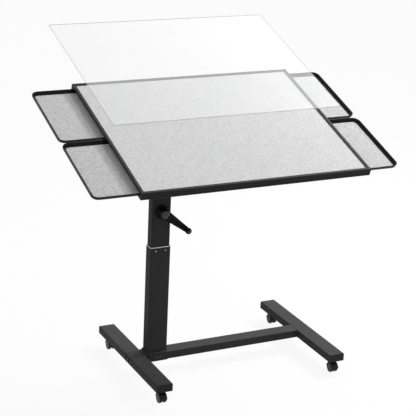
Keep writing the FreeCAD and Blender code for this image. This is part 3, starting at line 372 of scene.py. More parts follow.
class Shape:
    """Gathers faces in millimetres and turns them into one Blender object in metres."""

    def __init__(self):
        self.points = []
        self.faces = []
        self.slots = []

    def add(self, points, faces, matrix=None, slot=0):
        first = len(self.points)
        for point in points:
            point = Vector(point)
            self.points.append(matrix @ point if matrix is not None else point)
        for face in faces:
            self.faces.append([first + i for i in face])
            self.slots.append(slot)

    def set_slot(self, first, end, slot):
        """Gives the faces from first up to end another material slot."""
        for i in range(first, end):
            self.slots[i] = slot

    def to_object(self, name, angle):
        mesh = bpy.data.meshes.new(name)
        mesh.from_pydata([point * MM for point in self.points], [], self.faces)
        mesh.polygons.foreach_set("material_index", self.slots)
        mesh.polygons.foreach_set("use_smooth", [True] * len(self.faces))
        mesh.update()
        mesh.set_sharp_from_angle(angle=math.radians(angle))
        return to_scene(name, mesh)


def grid_faces(rows, columns, closed=True):
    """Quads between neighbouring rows of points; closed rows join their ends."""
    faces = []
    last = columns if closed else columns - 1
    for r in range(rows - 1):
        for c in range(last):
            d = (c + 1) % columns
            here = r * columns
            after = here + columns
            faces.append([here + c, here + d, after + d, after + c])
    return faces


def turned_points(rows, steps):
    """Points of a section turned about Z; a radius may be a function of the angle."""
    points = []
    for radius, height in rows:
        for i in range(steps):
            turn = 2 * math.pi * i / steps
            r = radius(turn) if callable(radius) else radius
            points.append((r * math.cos(turn), r * math.sin(turn), height))
    return points


def add_turned(shape, rows, matrix, steps=ROUND_STEPS, slot=0):
    """Solid of revolution about Z, with rows from the bottom up the outside; a fan closes each end."""
    points = turned_points(rows, steps)
    faces = grid_faces(len(rows), steps)
    low = len(points)
    top = low - steps
    points += [(0, 0, rows[0][1]), (0, 0, rows[-1][1])]
    for i in range(steps):
        j = (i + 1) % steps
        faces.append([low, j, i])
        faces.append([low + 1, top + i, top + j])
    shape.add(points, faces, matrix, slot)


def add_ring(shape, rows, matrix, steps=ROUND_STEPS, slot=0):
    """Closed ring about Z: the rows go once round its section."""
    points = turned_points(rows + rows[:1], steps)
    shape.add(points, grid_faces(len(rows) + 1, steps), matrix, slot)


def add_ends(shape, points, count, matrix=None, slot=0):
    """Closes the first and the last outline of a run of points."""
    shape.add(points[:count], [list(reversed(range(count)))], matrix, slot)
    shape.add(points[-count:], [list(range(count))], matrix, slot)


def arc(x, y, radius, start_angle, end_angle, steps=4):
    """Points on an arc round (x, y), which serve as rows of a section or as corners of an outline."""
    points = []
    for i in range(steps + 1):
        turn = math.radians(start_angle + (end_angle - start_angle) * i / steps)
        points.append((x + radius * math.cos(turn), y + radius * math.sin(turn)))
    return points


def rounded_outline(corners, inset=0.0, least=TRAY_SHARP_R):
    """Closed outline through (x, y, radius) corners, anticlockwise, moved inwards by inset."""
    xs = [corner[0] for corner in corners]
    ys = [corner[1] for corner in corners]
    centre_x = (min(xs) + max(xs)) / 2
    centre_y = (min(ys) + max(ys)) / 2
    points = []
    for x, y, radius in corners:
        side_x = 1 if x > centre_x else -1
        side_y = 1 if y > centre_y else -1
        r = max(radius - inset, least)
        at_x = x - side_x * (inset + r)
        at_y = y - side_y * (inset + r)
        start = math.degrees(math.atan2(side_y, side_x)) - 45
        points += arc(at_x, at_y, r, start, start + 90, CORNER_STEPS)
    return points


def rectangle(width, depth, radius, x=0.0, y=0.0):
    """Corners of a centred rectangle for rounded_outline."""
    return [(x + side_x * width / 2, y + side_y * depth / 2, radius)
            for side_x, side_y in ((1, 1), (-1, 1), (-1, -1), (1, -1))]


def add_swept(shape, corners, rows, matrix, least=TRAY_SHARP_R, slot=0, cap_slot=0):
    """Walls that follow a rounded outline; rows are (inset, height), with both ends closed."""
    points = []
    for inset, height in rows:
        points += [(x, y, height) for x, y in rounded_outline(corners, inset, least)]
    count = len(points) // len(rows)
    shape.add(points, grid_faces(len(rows), count), matrix, slot)
    add_ends(shape, points, count, matrix, cap_slot)


def capsule(x0, x1, r0, r1, inset, steps=12):
    """Outline of a tapered bar with round ends, centred on y = 0, from its tip's lower side."""
    lean = math.degrees(math.asin((r0 - r1) / (x1 - x0)))
    return (arc(x1, 0, r1 - inset, lean - 90, 90 - lean, steps)
            + arc(x0, 0, r0 - inset, 90 - lean, 270 + lean, steps))


def hexagon(across_flats):
    """Radius of a hexagon as a function of the angle."""
    def radius(turn):
        fold = turn % math.radians(60) - math.radians(30)
        return across_flats / 2 / math.cos(fold)
    return radius


def cross_recess(arm, slot):
    """Radius of a cross recess as a function of the angle."""
    def radius(turn):
        fold = abs((turn + math.radians(45)) % math.radians(90) - math.radians(45))
        if math.tan(fold) < slot / arm:
            return arm / math.cos(fold)
        return slot / math.sin(fold)
    return radius


def thread_rows(diameter, start, turns, profile):
    """Grooves of a thread from start upwards; the profile has (depth, place) shares of one turn."""
    pitch = THREAD_PITCH_SHARE * diameter
    groove = THREAD_DEPTH_SHARE * diameter
    return [(diameter / 2 - groove * depth, start + pitch * (i + place))
            for i in range(turns) for depth, place in profile]


def add_bolt(shape, diameter, length, matrix, recess="socket"):
    """Cap head with a recess and a threaded shank; Z runs out of the head, 0 is under it."""
    head_r = HEAD_D_SHARE * diameter / 2
    head_h = HEAD_H_SHARE * diameter
    ease = head_h * HEAD_EASE_SHARE
    depth = SOCKET_DEPTH_SHARE * diameter
    if recess == "socket":
        hole = hexagon(SOCKET_SHARE * diameter)
        dome = 0.0
    else:
        hole = cross_recess(CROSS_ARM_SHARE * 2 * head_r, CROSS_SLOT_SHARE * 2 * head_r)
        dome = head_h * HEAD_DOME_SHARE
    turns = int(length * THREADED_SHARE / (THREAD_PITCH_SHARE * diameter))
    rows = [(diameter / 2, -length)]
    rows += thread_rows(diameter, -length, turns, BOLT_THREAD)
    rows += [(diameter / 2, -ease / 4), (head_r - ease / 4, 0.0), (head_r, ease / 4)]
    rows += arc(head_r - ease, head_h - ease - dome, ease, 0, 80, 4)
    rows += [(head_r * HEAD_FACE_SHARE, head_h - dome / 4), (hole, head_h), (hole, head_h - depth)]
    add_turned(shape, rows, matrix, BOLT_STEPS)


def add_nut(shape, diameter, matrix, height=None):
    """Hexagon nut with eased corners; Z runs from its seat outwards."""
    h = height or NUT_H_SHARE * diameter
    flat = NUT_AF_SHARE * diameter / 2
    corner = hexagon(2 * flat)
    ease = h * NUT_EASE_SHARE
    face = flat * NUT_FACE_SHARE

    def chamfer(turn):
        return min(corner(turn), flat * NUT_CHAMFER_SHARE)

    rows = [(face, 0.0), (chamfer, ease), (corner, ease * 2), (corner, h - ease * 2),
            (chamfer, h - ease), (face, h), (diameter / 2, h), (diameter / 2, h * NUT_BORE_SHARE)]
    add_turned(shape, rows, matrix, BOLT_STEPS)


def add_thread_rod(shape, diameter, length, matrix):
    """Rod with thread grooves, from 0 up to length."""
    root = diameter / 2 - THREAD_DEPTH_SHARE * diameter
    turns = int(length / (THREAD_PITCH_SHARE * diameter))
    rows = [(root, 0.0)] + thread_rows(diameter, 0.0, turns, STEM_THREAD) + [(root, length)]
    add_turned(shape, rows, matrix, STEM_STEPS)


# Materials

def new_material(name):
    material = bpy.data.materials.new(name)
    material.use_nodes = True
    return material, material.node_tree


def shader_of(tree):
    return tree.nodes["Principled BSDF"]


def fill(tree, node, values):
    """Fills a node's inputs: numbers are set, and values of other nodes are linked."""
    for name, value in values.items():
        if isinstance(value, (float, tuple)):
            node.inputs[name].default_value = value
        else:
            tree.links.new(value, node.inputs[name])


def shade(tree, values):
    """Fills the inputs of a material's shader."""
    fill(tree, shader_of(tree), values)


def add_node(tree, kind, values):
    node = tree.nodes.new("ShaderNode" + kind)
    fill(tree, node, values)
    return node


def object_coords(tree, stretch=(1.0, 1.0, 1.0), tilted=False):
    """Coordinates in metres that stay with the piece, stretched for grain."""
    coords = tree.nodes.new("ShaderNodeTexCoord").outputs["Object"]
    turn = math.radians(-TILT_ANGLE) if tilted else 0.0
    values = {"Vector": coords, "Scale": stretch, "Rotation": (turn, 0.0, 0.0)}
    return add_node(tree, "Mapping", values).outputs["Vector"]


def noise(tree, coords, scale, detail=3.0, roughness=0.55, distortion=0.0):
    values = {"Vector": coords, "Scale": scale, "Detail": detail, "Roughness": roughness,
              "Distortion": distortion}
    return add_node(tree, "TexNoise", values).outputs["Fac"]


def voronoi(tree, coords, scale):
    return add_node(tree, "TexVoronoi", {"Vector": coords, "Scale": scale}).outputs["Distance"]


def spread(tree, value, low, high, to_low, to_high):
    """Maps a value's range onto another."""
    values = {"Value": value, "From Min": low, "From Max": high, "To Min": to_low, "To Max": to_high}
    return add_node(tree, "MapRange", values).outputs["Result"]


def joined(tree, kind, a, b):
    """Two values through one arithmetic node."""
    node = add_node(tree, "Math", {0: a, 1: b})
    node.operation = kind
    return node.outputs["Value"]


def weighted(tree, *parts):
    """Sum of (value, weight) pairs."""
    total = None
    for value, weight in parts:
        part = joined(tree, "MULTIPLY", value, weight)
        total = part if total is None else joined(tree, "ADD", total, part)
    return total


def tone(tree, value, stops):
    """Colour ramp from (position, grey or colour) stops."""
    node = tree.nodes.new("ShaderNodeValToRGB")
    ramp = node.color_ramp
    while len(ramp.elements) < len(stops):
        ramp.elements.new(0.5)
    for element, (position, colour) in zip(ramp.elements, stops):
        if isinstance(colour, float):
            colour = (colour, colour, colour)
        element.position = position
        element.color = (*colour, 1.0)
    tree.links.new(value, node.inputs["Fac"])
    return node.outputs["Color"]


def painted_top_light(tree, low, high, lift):
    """Rises from 0 to lift on faces that look up: painted light from above, which makes top faces paler."""
    normal = tree.nodes.new("ShaderNodeNewGeometry").outputs["Normal"]
    parts = add_node(tree, "SeparateXYZ", {"Vector": normal})
    return spread(tree, parts.outputs["Z"], low, high, 0.0, lift)


def relief(tree, height, strength, distance, edge=0.0):
    """Bump from a height, over edges that are shaded as if rounded by edge; both are in metres."""
    bump = add_node(tree, "Bump", {"Height": height, "Strength": strength, "Distance": distance})
    if edge > 0:
        bevel = add_node(tree, "Bevel", {"Radius": edge})
        bevel.samples = BEVEL_SAMPLES
        tree.links.new(bevel.outputs["Normal"], bump.inputs["Normal"])
    shade(tree, {"Normal": bump.outputs["Normal"]})


def plastic(name, dark, light, roughness, grain, depth, specular, edge=0.0, coat=0.0):
    """Moulded or painted surface: fine texture, slight change of colour and gloss."""
    material, tree = new_material(name)
    coords = object_coords(tree)
    fine = noise(tree, coords, grain, 4.0, 0.6)
    broad = noise(tree, coords, grain / 60, 3.0, 0.5)
    mixed = weighted(tree, (fine, 0.55), (broad, 0.45))
    shade(tree, {
        "Base Color": tone(tree, mixed, ((0.3, dark), (0.7, light))),
        "Roughness": spread(tree, broad, 0.3, 0.7, *roughness),
        "Specular IOR Level": specular, "Coat Weight": coat, "Coat Roughness": 0.08})
    relief(tree, fine, 0.35, depth, edge)
    return material


def powder_coat():
    """Matte black powder coat with its fine orange peel, and painted light that makes its top faces paler."""
    material, tree = new_material("powder_coat")
    coords = object_coords(tree)
    peel = noise(tree, coords, 1300.0, 2.0, 0.5)
    cloud = noise(tree, coords, 9.0, 4.0, 0.6)
    mixed = weighted(tree, (cloud, 0.35), (voronoi(tree, coords, 900.0), 0.15))
    # Painted light: faces that look up get a paler base colour, as if lit from above.
    top_lit = joined(tree, "ADD", mixed, painted_top_light(tree, 0.8, 1.0, 0.4))
    stops = ((0.12, (0.032, 0.032, 0.033)), (0.38, (0.048, 0.048, 0.049)), (0.90, 0.088))
    shade(tree, {
        "Base Color": tone(tree, top_lit, stops),
        "Roughness": spread(tree, peel, 0.3, 0.7, 0.44, 0.58), "Specular IOR Level": 0.03})
    relief(tree, peel, 0.3, distance=0.00018, edge=0.0007)
    return material


def felt(name, dark, light):
    """Short heathered felt: pale and darker fibres, a little cloudy, soft sheen."""
    material, tree = new_material(name)
    coords = object_coords(tree, tilted=True)
    across = object_coords(tree, (1.0, 0.22, 1.0), tilted=True)
    along = object_coords(tree, (0.22, 1.0, 1.0), tilted=True)
    fibre_a = noise(tree, across, 1500.0, 3.0, 0.7, 0.4)
    fibre_b = noise(tree, along, 1300.0, 3.0, 0.7, 0.4)
    tuft = noise(tree, coords, 190.0, 3.0, 0.75)
    cloud = noise(tree, coords, 26.0, 3.0, 0.6)
    fibres = joined(tree, "MULTIPLY", joined(tree, "ADD", fibre_a, fibre_b), 0.5)
    weave = weighted(tree, (fibres, 0.20), (tuft, 0.72), (cloud, 0.08))
    between = [d * 0.38 + c * 0.62 for d, c in zip(dark, light)]
    shade(tree, {
        "Base Color": tone(tree, weave, ((0.38, dark), (0.485, between), (0.61, light))),
        "Roughness": 0.95, "Specular IOR Level": 0.15, "Sheen Weight": 0.12, "Sheen Roughness": 0.5})
    relief(tree, joined(tree, "ADD", fibres, tuft), 0.5, distance=0.0004)
    return material


def lacquered_wood(name, grain_axis):
    """Black lacquer over wood: grain that just shows along one axis, and painted light that makes its top faces
    paler.
    """
    material, tree = new_material(name)
    stretch = [1.0, 1.0, 1.0]
    stretch[grain_axis] = 0.03
    coords = object_coords(tree, tuple(stretch), tilted=True)
    grain = noise(tree, coords, 420.0, 5.0, 0.65, 0.3)
    figure = noise(tree, coords, 60.0, 3.0, 0.5, 0.6)
    mixed = weighted(tree, (grain, 0.3), (figure, 0.2))
    # Painted light: faces that look up get a paler base colour, as if lit from above.
    top_lit = joined(tree, "ADD", mixed, painted_top_light(tree, 0.75, 0.95, 0.4))
    stops = ((0.17, (0.015, 0.015, 0.0145)), (0.34, (0.026, 0.026, 0.0255)), (0.85, 0.06))
    shade(tree, {
        "Base Color": tone(tree, top_lit, stops),
        "Roughness": spread(tree, figure, 0.3, 0.7, 0.34, 0.44), "Specular IOR Level": 0.06})
    relief(tree, grain, 0.25, distance=0.0001, edge=0.0005)
    return material


def fibreboard():
    """Bare edges and hidden faces of the board: fine brown fibres."""
    material, tree = new_material("fibreboard")
    coords = object_coords(tree, (1.0, 1.0, 3.0), tilted=True)
    fibre = noise(tree, coords, 700.0, 6.0, 0.75)
    mixed = weighted(tree, (fibre, 0.7), (noise(tree, coords, 60.0, 2.0, 0.5), 0.3))
    colour = tone(tree, mixed, ((0.3, (0.22, 0.15, 0.085)), (0.7, (0.46, 0.35, 0.23))))
    shade(tree, {"Base Color": colour, "Roughness": 0.85})
    relief(tree, fibre, 0.5, distance=0.0002)
    return material


def metal(name, dark, light, roughness):
    """Machined metal: fine lines across the brushing, uneven gloss."""
    material, tree = new_material(name)
    lines = noise(tree, object_coords(tree, (0.06, 0.06, 1.0)), 2600.0, 3.0, 0.6)
    stain = noise(tree, object_coords(tree), 45.0, 4.0, 0.6)
    mixed = weighted(tree, (lines, 0.5), (stain, 0.5))
    shade(tree, {
        "Base Color": tone(tree, mixed, ((0.3, dark), (0.7, light))), "Metallic": 1.0,
        "Roughness": spread(tree, mixed, 0.3, 0.7, roughness, roughness + 0.14)})
    relief(tree, lines, 0.2, distance=0.00004, edge=0.0003)
    return material


def clear_sheet():
    """Clear acrylic with a painted reflection: a faint white veil for the bright surroundings it reflects, faint
    specks and a soft gloss.
    """
    material, tree = new_material("clear_sheet")
    coords = object_coords(tree, tilted=True)
    veil_cloud = noise(tree, coords, 7.0, 3.0, 0.5)
    # Painted reflection: about a fifth of the sheet is near-white, which whitens what lies under it as a
    # reflection of white surroundings would.
    reflection_veil = spread(tree, veil_cloud, 0.3, 0.7, 0.22, 0.235)
    specks = spread(tree, noise(tree, coords, 500.0, 2.0, 0.5), 0.3, 0.7, -0.005, 0.005)
    colour = tone(tree, veil_cloud, ((0.3, (0.965, 0.968, 0.97)), (0.7, (0.985, 0.987, 0.99))))
    shade(tree, {
        "Base Color": colour, "Alpha": joined(tree, "ADD", reflection_veil, specks), "Roughness": 0.22,
        "Specular IOR Level": 0.3, "IOR": 1.49})
    return material


def clear_edge():
    """Cut edge of the acrylic, where the sheet looks grey."""
    material, tree = new_material("clear_edge")
    saw = noise(tree, object_coords(tree, (1.0, 1.0, 0.2), tilted=True), 900.0, 2.0, 0.5)
    colour = tone(tree, saw, ((0.3, (0.42, 0.425, 0.43)), (0.7, (0.54, 0.545, 0.55))))
    shade(tree, {"Base Color": colour, "Roughness": 0.3, "Alpha": 0.85})
    relief(tree, saw, 0.3, distance=0.0001)
    return material


def floor_material():
    """Pale floor that keeps the object's shadow and runs into the white background."""
    material, tree = new_material("studio_floor")
    pale = tone(tree, noise(tree, object_coords(tree), 3.0, 2.0, 0.5), ((0.3, 0.905), (0.7, 0.915)))
    shade(tree, {"Base Color": pale, "Roughness": 0.9, "Specular IOR Level": 0.0})
    bright = add_node(tree, "Emission", {"Color": WHITE, "Strength": 1.0})
    share = joined(tree, "MULTIPLY", seen_directly(tree), FLOOR_SHARE)
    mix = add_node(tree, "MixShader", {"Fac": share, 1: shader_of(tree).outputs["BSDF"],
                                       2: bright.outputs["Emission"]})
    fill(tree, tree.nodes["Material Output"], {"Surface": mix.outputs["Shader"]})
    return material


def seen_directly(tree):
    """1 for camera, glossy and transmission rays, 0 for the rays that light the object."""
    path = tree.nodes.new("ShaderNodeLightPath")
    seen = joined(tree, "MAXIMUM", path.outputs["Is Camera Ray"], path.outputs["Is Glossy Ray"])
    return joined(tree, "MAXIMUM", seen, path.outputs["Is Transmission Ray"])


def make_materials():
    return {
        "powder_coat": powder_coat(),
        "bare_steel": metal("zinc_steel", (0.46, 0.46, 0.47), (0.66, 0.66, 0.67), 0.28),
        "dark_fasteners": metal("black_oxide", (0.035, 0.035, 0.038), (0.085, 0.085, 0.09), 0.34),
        "black_plastic": plastic(
            "black_plastic", (0.013, 0.013, 0.014), (0.021, 0.021, 0.022), (0.40, 0.50), 1500.0,
            depth=0.00012, specular=0.14, edge=0.0004),
        "crank_gloss": plastic(
            "crank_gloss", (0.005, 0.005, 0.0055), (0.008, 0.008, 0.0085), (0.14, 0.22), 380.0,
            depth=0.00003, specular=0.14, coat=0.65),
        # A darker, less glossy copy of crank_gloss: painted shade on the crank's flange, arm, pocket, boss, hub
        # side and grip side.
        "crank_painted_shade": plastic(
            "crank_painted_shade", (0.004, 0.004, 0.0045), (0.007, 0.007, 0.0075), (0.24, 0.34), 600.0,
            depth=0.00003, specular=0.06),
        "pale_liner": plastic(
            "pale_liner", (0.86, 0.865, 0.87), (0.93, 0.933, 0.935), (0.35, 0.45), 900.0,
            depth=0.00005, specular=0.5, edge=0.0002),
        "nut_brass": metal("turned_brass", (0.62, 0.47, 0.20), (0.80, 0.64, 0.32), 0.25),
        "caster_tread": plastic(
            "caster_tread", (0.010, 0.010, 0.011), (0.017, 0.017, 0.018), (0.30, 0.42), 700.0,
            depth=0.00005, specular=0.2, edge=0.0003),
        "caster_hub": plastic(
            "caster_hub", (0.013, 0.013, 0.012), (0.021, 0.021, 0.020), (0.24, 0.34), 700.0,
            depth=0.00004, specular=0.25, edge=0.0003),
        "dull_screws": metal("dull_zinc", (0.26, 0.26, 0.265), (0.42, 0.42, 0.425), 0.38),
        "black_wood": lacquered_wood("black_lacquer_long", 0),
        "black_lip": lacquered_wood("black_lacquer_side", 1),
        "board_core": fibreboard(),
        "grey_felt": felt("board_felt", (0.50, 0.50, 0.505), (0.785, 0.785, 0.79)),
        # tray_felt is a darker copy of the board's felt: painted shade on the trays' linings.
        "tray_felt": felt("tray_felt", (0.385, 0.385, 0.39), (0.70, 0.70, 0.705)),
        "tray_gloss": plastic(
            "tray_gloss", (0.0055, 0.0055, 0.006), (0.0085, 0.0085, 0.009), (0.26, 0.36), 260.0,
            depth=0.00004, specular=0.12),
        "clear_sheet": clear_sheet(),
        "clear_edge": clear_edge(),
    }


MATERIALS = make_materials()


def paint(piece, *names):
    """Puts these materials in the piece's slots, which keeps the slot that each face has."""
    slots = piece.data.materials
    for i, name in enumerate(names):
        if i < len(slots):
            slots[i] = MATERIALS[name]
        else:
            slots.append(MATERIALS[name])


def put(shape, name, body, slot, nodes=(), materials=None, smooth=SMOOTH_ANGLE):
    """Makes a piece: its mesh, its material, the body it rides on and the nodes it stands for."""
    piece = shape.to_object(name, smooth)
    paint(piece, *(materials or [slot]))
    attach(piece, body)
    if nodes:
        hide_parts(*nodes)
    return piece


def dress_nodes():
    """Nodes whose own shape is right keep it and get their material."""
    slots = {part["node"]: part["material_slot"] for part in frame["record"]["subparts"]}
    for name, node in frame["nodes"].items():
        paint(node, slots[name])
    for name in ("left_lip", "right_lip", "bottom_panel", "cross_beams"):
        paint(frame["nodes"][name], "black_lip")
    for name in ("tray_divider", "tray_runners"):
        paint(frame["nodes"][name], "black_wood")


# Top

def slab_rows(inset, under, thickness, ease):
    """Rows of a flat slab with eased edges."""
    top = under + thickness
    mid = ease * EASE_SHARE
    return [(inset + ease, under), (inset + mid, under + mid), (inset, under + ease),
            (inset, top - ease), (inset + mid, top - mid), (inset + ease, top)]


def build_board_felt():
    shape = Shape()
    width = TOP_W - 2 * RAIL_T
    depth = TOP_D - 2 * RAIL_T
    rows = slab_rows(0.0, FELT_TOP - FELT_T, FELT_T, FELT_EDGE)
    add_swept(shape, rectangle(width, depth, FELT_EDGE), rows, TOP, FELT_EDGE)
    piece = put(shape, "board_felt", "top", "grey_felt", ["top_felt"])


def tray_corners(out):
    """Plan of a right-hand back tray that is pulled out this far; only its outer corners are rounded."""
    x1 = TOP_W / 2 + out
    x0 = x1 - TRAY_L
    return [(x1, TRAY_Y1, TRAY_CORNER_R), (x0, TRAY_Y1, TRAY_SHARP_R),
            (x0, TRAY_Y0, TRAY_SHARP_R), (x1, TRAY_Y0, TRAY_CORNER_R)]


def tray_foot_inset():
    """From the rim's outline in to where the felt starts."""
    return TRAY_WALL + TRAY_INNER_LEAN + TRAY_COVE_R


def tray_rows():
    """Section of a tray's wall: up its bowed outside, over its rim and down a cove to the felt."""
    under = TRAY_TOP - TRAY_H
    floor = under + TRAY_FLOOR
    mid = TRAY_FOOT_R * EASE_SHARE
    rows = [(TRAY_DRAFT + TRAY_FOOT_R, under), (TRAY_DRAFT + mid, under + mid)]
    for share in TRAY_SIDE_SHARES:
        rows.append((TRAY_DRAFT * share ** 2, TRAY_TOP - TRAY_H * share))
    rows += arc(TRAY_RIM_R, TRAY_TOP - TRAY_RIM_R, TRAY_RIM_R, 180, 90)
    rows += arc(TRAY_WALL - TRAY_RIM_R, TRAY_TOP - TRAY_RIM_R, TRAY_RIM_R, 90, 0)
    rows += arc(tray_foot_inset(), floor + TRAY_COVE_R, TRAY_COVE_R, 180, 270, 6)
    return rows


def build_trays():
    floor = TRAY_TOP - TRAY_H + TRAY_FLOOR
    felt_inset = tray_foot_inset() - TRAY_FELT_GAP
    for name, side_x, side_y in CORNERS:
        out = TRAY_OUT_LEFT if side_x < 0 else TRAY_OUT_RIGHT
        mirror = TOP @ Matrix.Diagonal((side_x, side_y, 1, 1))
        shell = Shape()
        add_swept(shell, tray_corners(out), tray_rows(), mirror)
        felt_shape = Shape()
        add_swept(felt_shape, tray_corners(out), slab_rows(felt_inset, floor, FELT_T, FELT_EDGE), mirror)
        if side_x * side_y < 0:
            for shape in (shell, felt_shape):
                shape.faces = [list(reversed(face)) for face in shape.faces]
        body = name + "_drawer"
        put(shell, name + "_tray_shell", body, "tray_gloss", [name + "_tray"], smooth=SMOOTH_TRAY)
        # The linings get the darker tray felt, which is painted shade.
        piece = put(felt_shape, name + "_tray_lining", body, "grey_felt", [name + "_tray_felt"],
                    ["tray_felt"])


def build_cover():
    shape = Shape()
    rows = slab_rows(0.0, COVER_UNDER, COVER_T, COVER_EDGE)
    add_swept(shape, rectangle(COVER_W, COVER_D, COVER_CORNER_R, COVER_X, COVER_S), rows, TOP,
              COVER_EDGE, slot=1, cap_slot=0)
    piece = put(shape, "cover_sheet", "cover", "clear_sheet", ["clear_cover"],
                ["clear_sheet", "clear_edge"])
    piece.visible_shadow = False
    piece.visible_diffuse = False


# Crank

def build_crank_housing():
    shape = Shape()
    flange = HOUSING_D / 2
    step = flange - HOUSING_STEP
    nose_r, nose_z = HOUSING_NECK[-1]
    rows = [(HOUSING_BORE_R, 0.0), (flange - HOUSING_EDGE, 0.0), (flange, HOUSING_EDGE)]
    rows += arc(flange - HOUSING_RIM_R, HOUSING_RIM_Z, HOUSING_RIM_R, 0, 80, 5)
    rows += [(step, HOUSING_STEP_Z)]
    rows += arc(step, HOUSING_STEP_Z + HOUSING_COVE_R, HOUSING_COVE_R, 270, 200, 3)
    rows += HOUSING_NECK
    rows += arc(nose_r - HOUSING_NOSE_R, nose_z, HOUSING_NOSE_R, 0, 90, 3)
    rows += [(HOUSING_BORE_R, HOUSING_L), (HOUSING_BORE_R, HOUSING_EDGE)]
    add_turned(shape, rows, CRANK, FINE_STEPS)
    # The whole flange gets the painted shade copy of the crank's gloss.
    put(shape, "crank_flange", "column", "black_plastic", ["crank_housing"], ["crank_painted_shade"],
        SMOOTH_ROUND)


def lever_rows():
    """Section of the lever from its underside round its edge to the pocket's rim."""
    under = HUB_TOP - ARM_T
    mid = ARM_UNDER_R * EASE_SHARE
    rows = [(ARM_UNDER_R, under), (mid, under + mid), (0.0, under + ARM_UNDER_R)]
    return rows + arc(ARM_ROUND, HUB_TOP - ARM_ROUND, ARM_ROUND, 180, 90, 5)


def add_lever(shape):
    """Tapered arm with round edges and a long pocket in its face, inside a raised bead."""
    points = []
    for inset, height in lever_rows():
        points += [(x, y, height) for x, y in capsule(0, CRANK_R, ARM_ROOT_R, ARM_TIP_R, inset)]
    for inset, level in POCKET_BEAD + POCKET_WALL:
        outline = capsule(POCKET_X0, POCKET_X1, POCKET_ROOT_R, POCKET_TIP_R, inset)
        points += [(x, y, HUB_TOP + level) for x, y in outline]
    count = len(outline)
    outlines = len(points) // count
    bead_end = outlines - POCKET_STRIPS
    # The lever's faces take slot 1, the painted shade; only the bead round the pocket stays glossy.
    shape.add(points, grid_faces(outlines, count), CRANK, 1)
    shape.set_slot((bead_end - BEAD_STRIPS) * count, bead_end * count, 0)
    add_ends(shape, points, count, CRANK, 1)


def build_crank_arm():
    shape = Shape()
    add_lever(shape)
    hub = HUB_D / 2
    dome_foot = HUB_TOP - HUB_DOME_FOOT
    rows = [(hub - HUB_EDGE, HUB_UNDER), (hub, HUB_UNDER + HUB_EDGE), (hub, dome_foot)]
    for i in range(1, HUB_DOME_STEPS):
        share = i / HUB_DOME_STEPS
        rows.append((hub * math.cos(share * math.pi / 2) ** HUB_DOME_BULGE,
                     dome_foot + (HUB_DOME + HUB_DOME_FOOT) * share ** HUB_DOME_RISE))
    rows.append((HUB_CENTRE_R, HUB_TOP + HUB_DOME - HUB_CENTRE_DIP))
    # The hub's side and the foot of its dome take slot 1, the painted shade; the rest of the dome stays glossy.
    dome = len(shape.faces) + HUB_SHADE_ROWS * FINE_STEPS
    add_turned(shape, rows, CRANK, FINE_STEPS, 1)
    shape.set_slot(dome, len(shape.faces), 0)
    boss = ARM_TIP_R + BOSS_PROUD
    under = HUB_TOP - ARM_T
    rows = [(boss - BOSS_EDGE, under), (boss, under + BOSS_EDGE), (boss, HUB_TOP - BOSS_ROUND)]
    rows += arc(boss - BOSS_ROUND, HUB_TOP - BOSS_ROUND, BOSS_ROUND, 20, 90, 3)
    # The boss under the grip takes slot 1, the painted shade.
    add_turned(shape, rows, CRANK_TIP, slot=1)
    put(shape, "crank_lever", "crank", "crank_gloss", ["crank_arm"], ["crank_gloss", "crank_painted_shade"],
        SMOOTH_LEVER)


def build_crank_knob():
    """Swelling grip that turns on its pin, and the pin with its cross recess."""
    shape = Shape()
    bore = KNOB_PIN_D / 2 + KNOB_PIN_PLAY
    half = KNOB_L / 2
    rows = [(bore, 0.0), *KNOB_NECK]
    for i in range(1, KNOB_SWELL_STEPS):
        turn = math.radians(KNOB_SWELL_ANGLE * (2 * i / KNOB_SWELL_STEPS - 1))
        rows.append((KNOB_D / 2 * math.cos(turn) ** KNOB_SWELL_POWER,
                     half + (half + KNOB_SWELL_REACH) * math.sin(turn) * KNOB_SWELL_SHARE))
    side = len(rows) * FINE_STEPS
    rows += [(radius, KNOB_L + level) for radius, level in KNOB_END]
    rows.append((bore, KNOB_L + KNOB_END[-1][1]))
    add_ring(shape, rows, CRANK_TIP @ Matrix.Translation((0, 0, KNOB_UNDER)), FINE_STEPS)
    # The grip's neck and swelling take slot 1, the painted shade; its end stays glossy.
    shape.set_slot(0, side, 1)
    put(shape, "crank_grip_ball", "crank_grip", "crank_gloss", ["crank_knob"],
        ["crank_gloss", "crank_painted_shade"], SMOOTH_ROUND)

    pin = Shape()
    under = KNOB_UNDER + KNOB_L + KNOB_SCREW_GAP
    top = under + KNOB_SCREW_H
    head = KNOB_SCREW_D / 2
    rows = [(KNOB_PIN_D / 2, HUB_TOP - ARM_T / 2), (KNOB_PIN_D / 2, under),
            (head - KNOB_SCREW_EDGE, under), (head, under + KNOB_SCREW_EDGE)]
    rows += arc(head - KNOB_SCREW_ROUND, top - KNOB_SCREW_ROUND, KNOB_SCREW_ROUND, 0, 90, 3)
    slot = cross_recess(KNOB_CROSS_ARM, KNOB_CROSS_SLOT)
    rows += [(slot, top), (slot, under + KNOB_CROSS_FLOOR)]
    add_turned(pin, rows, CRANK_TIP, FINE_STEPS)
    put(pin, "crank_grip_pin", "crank", "dark_fasteners", ["knob_pin"])


# Tilting head

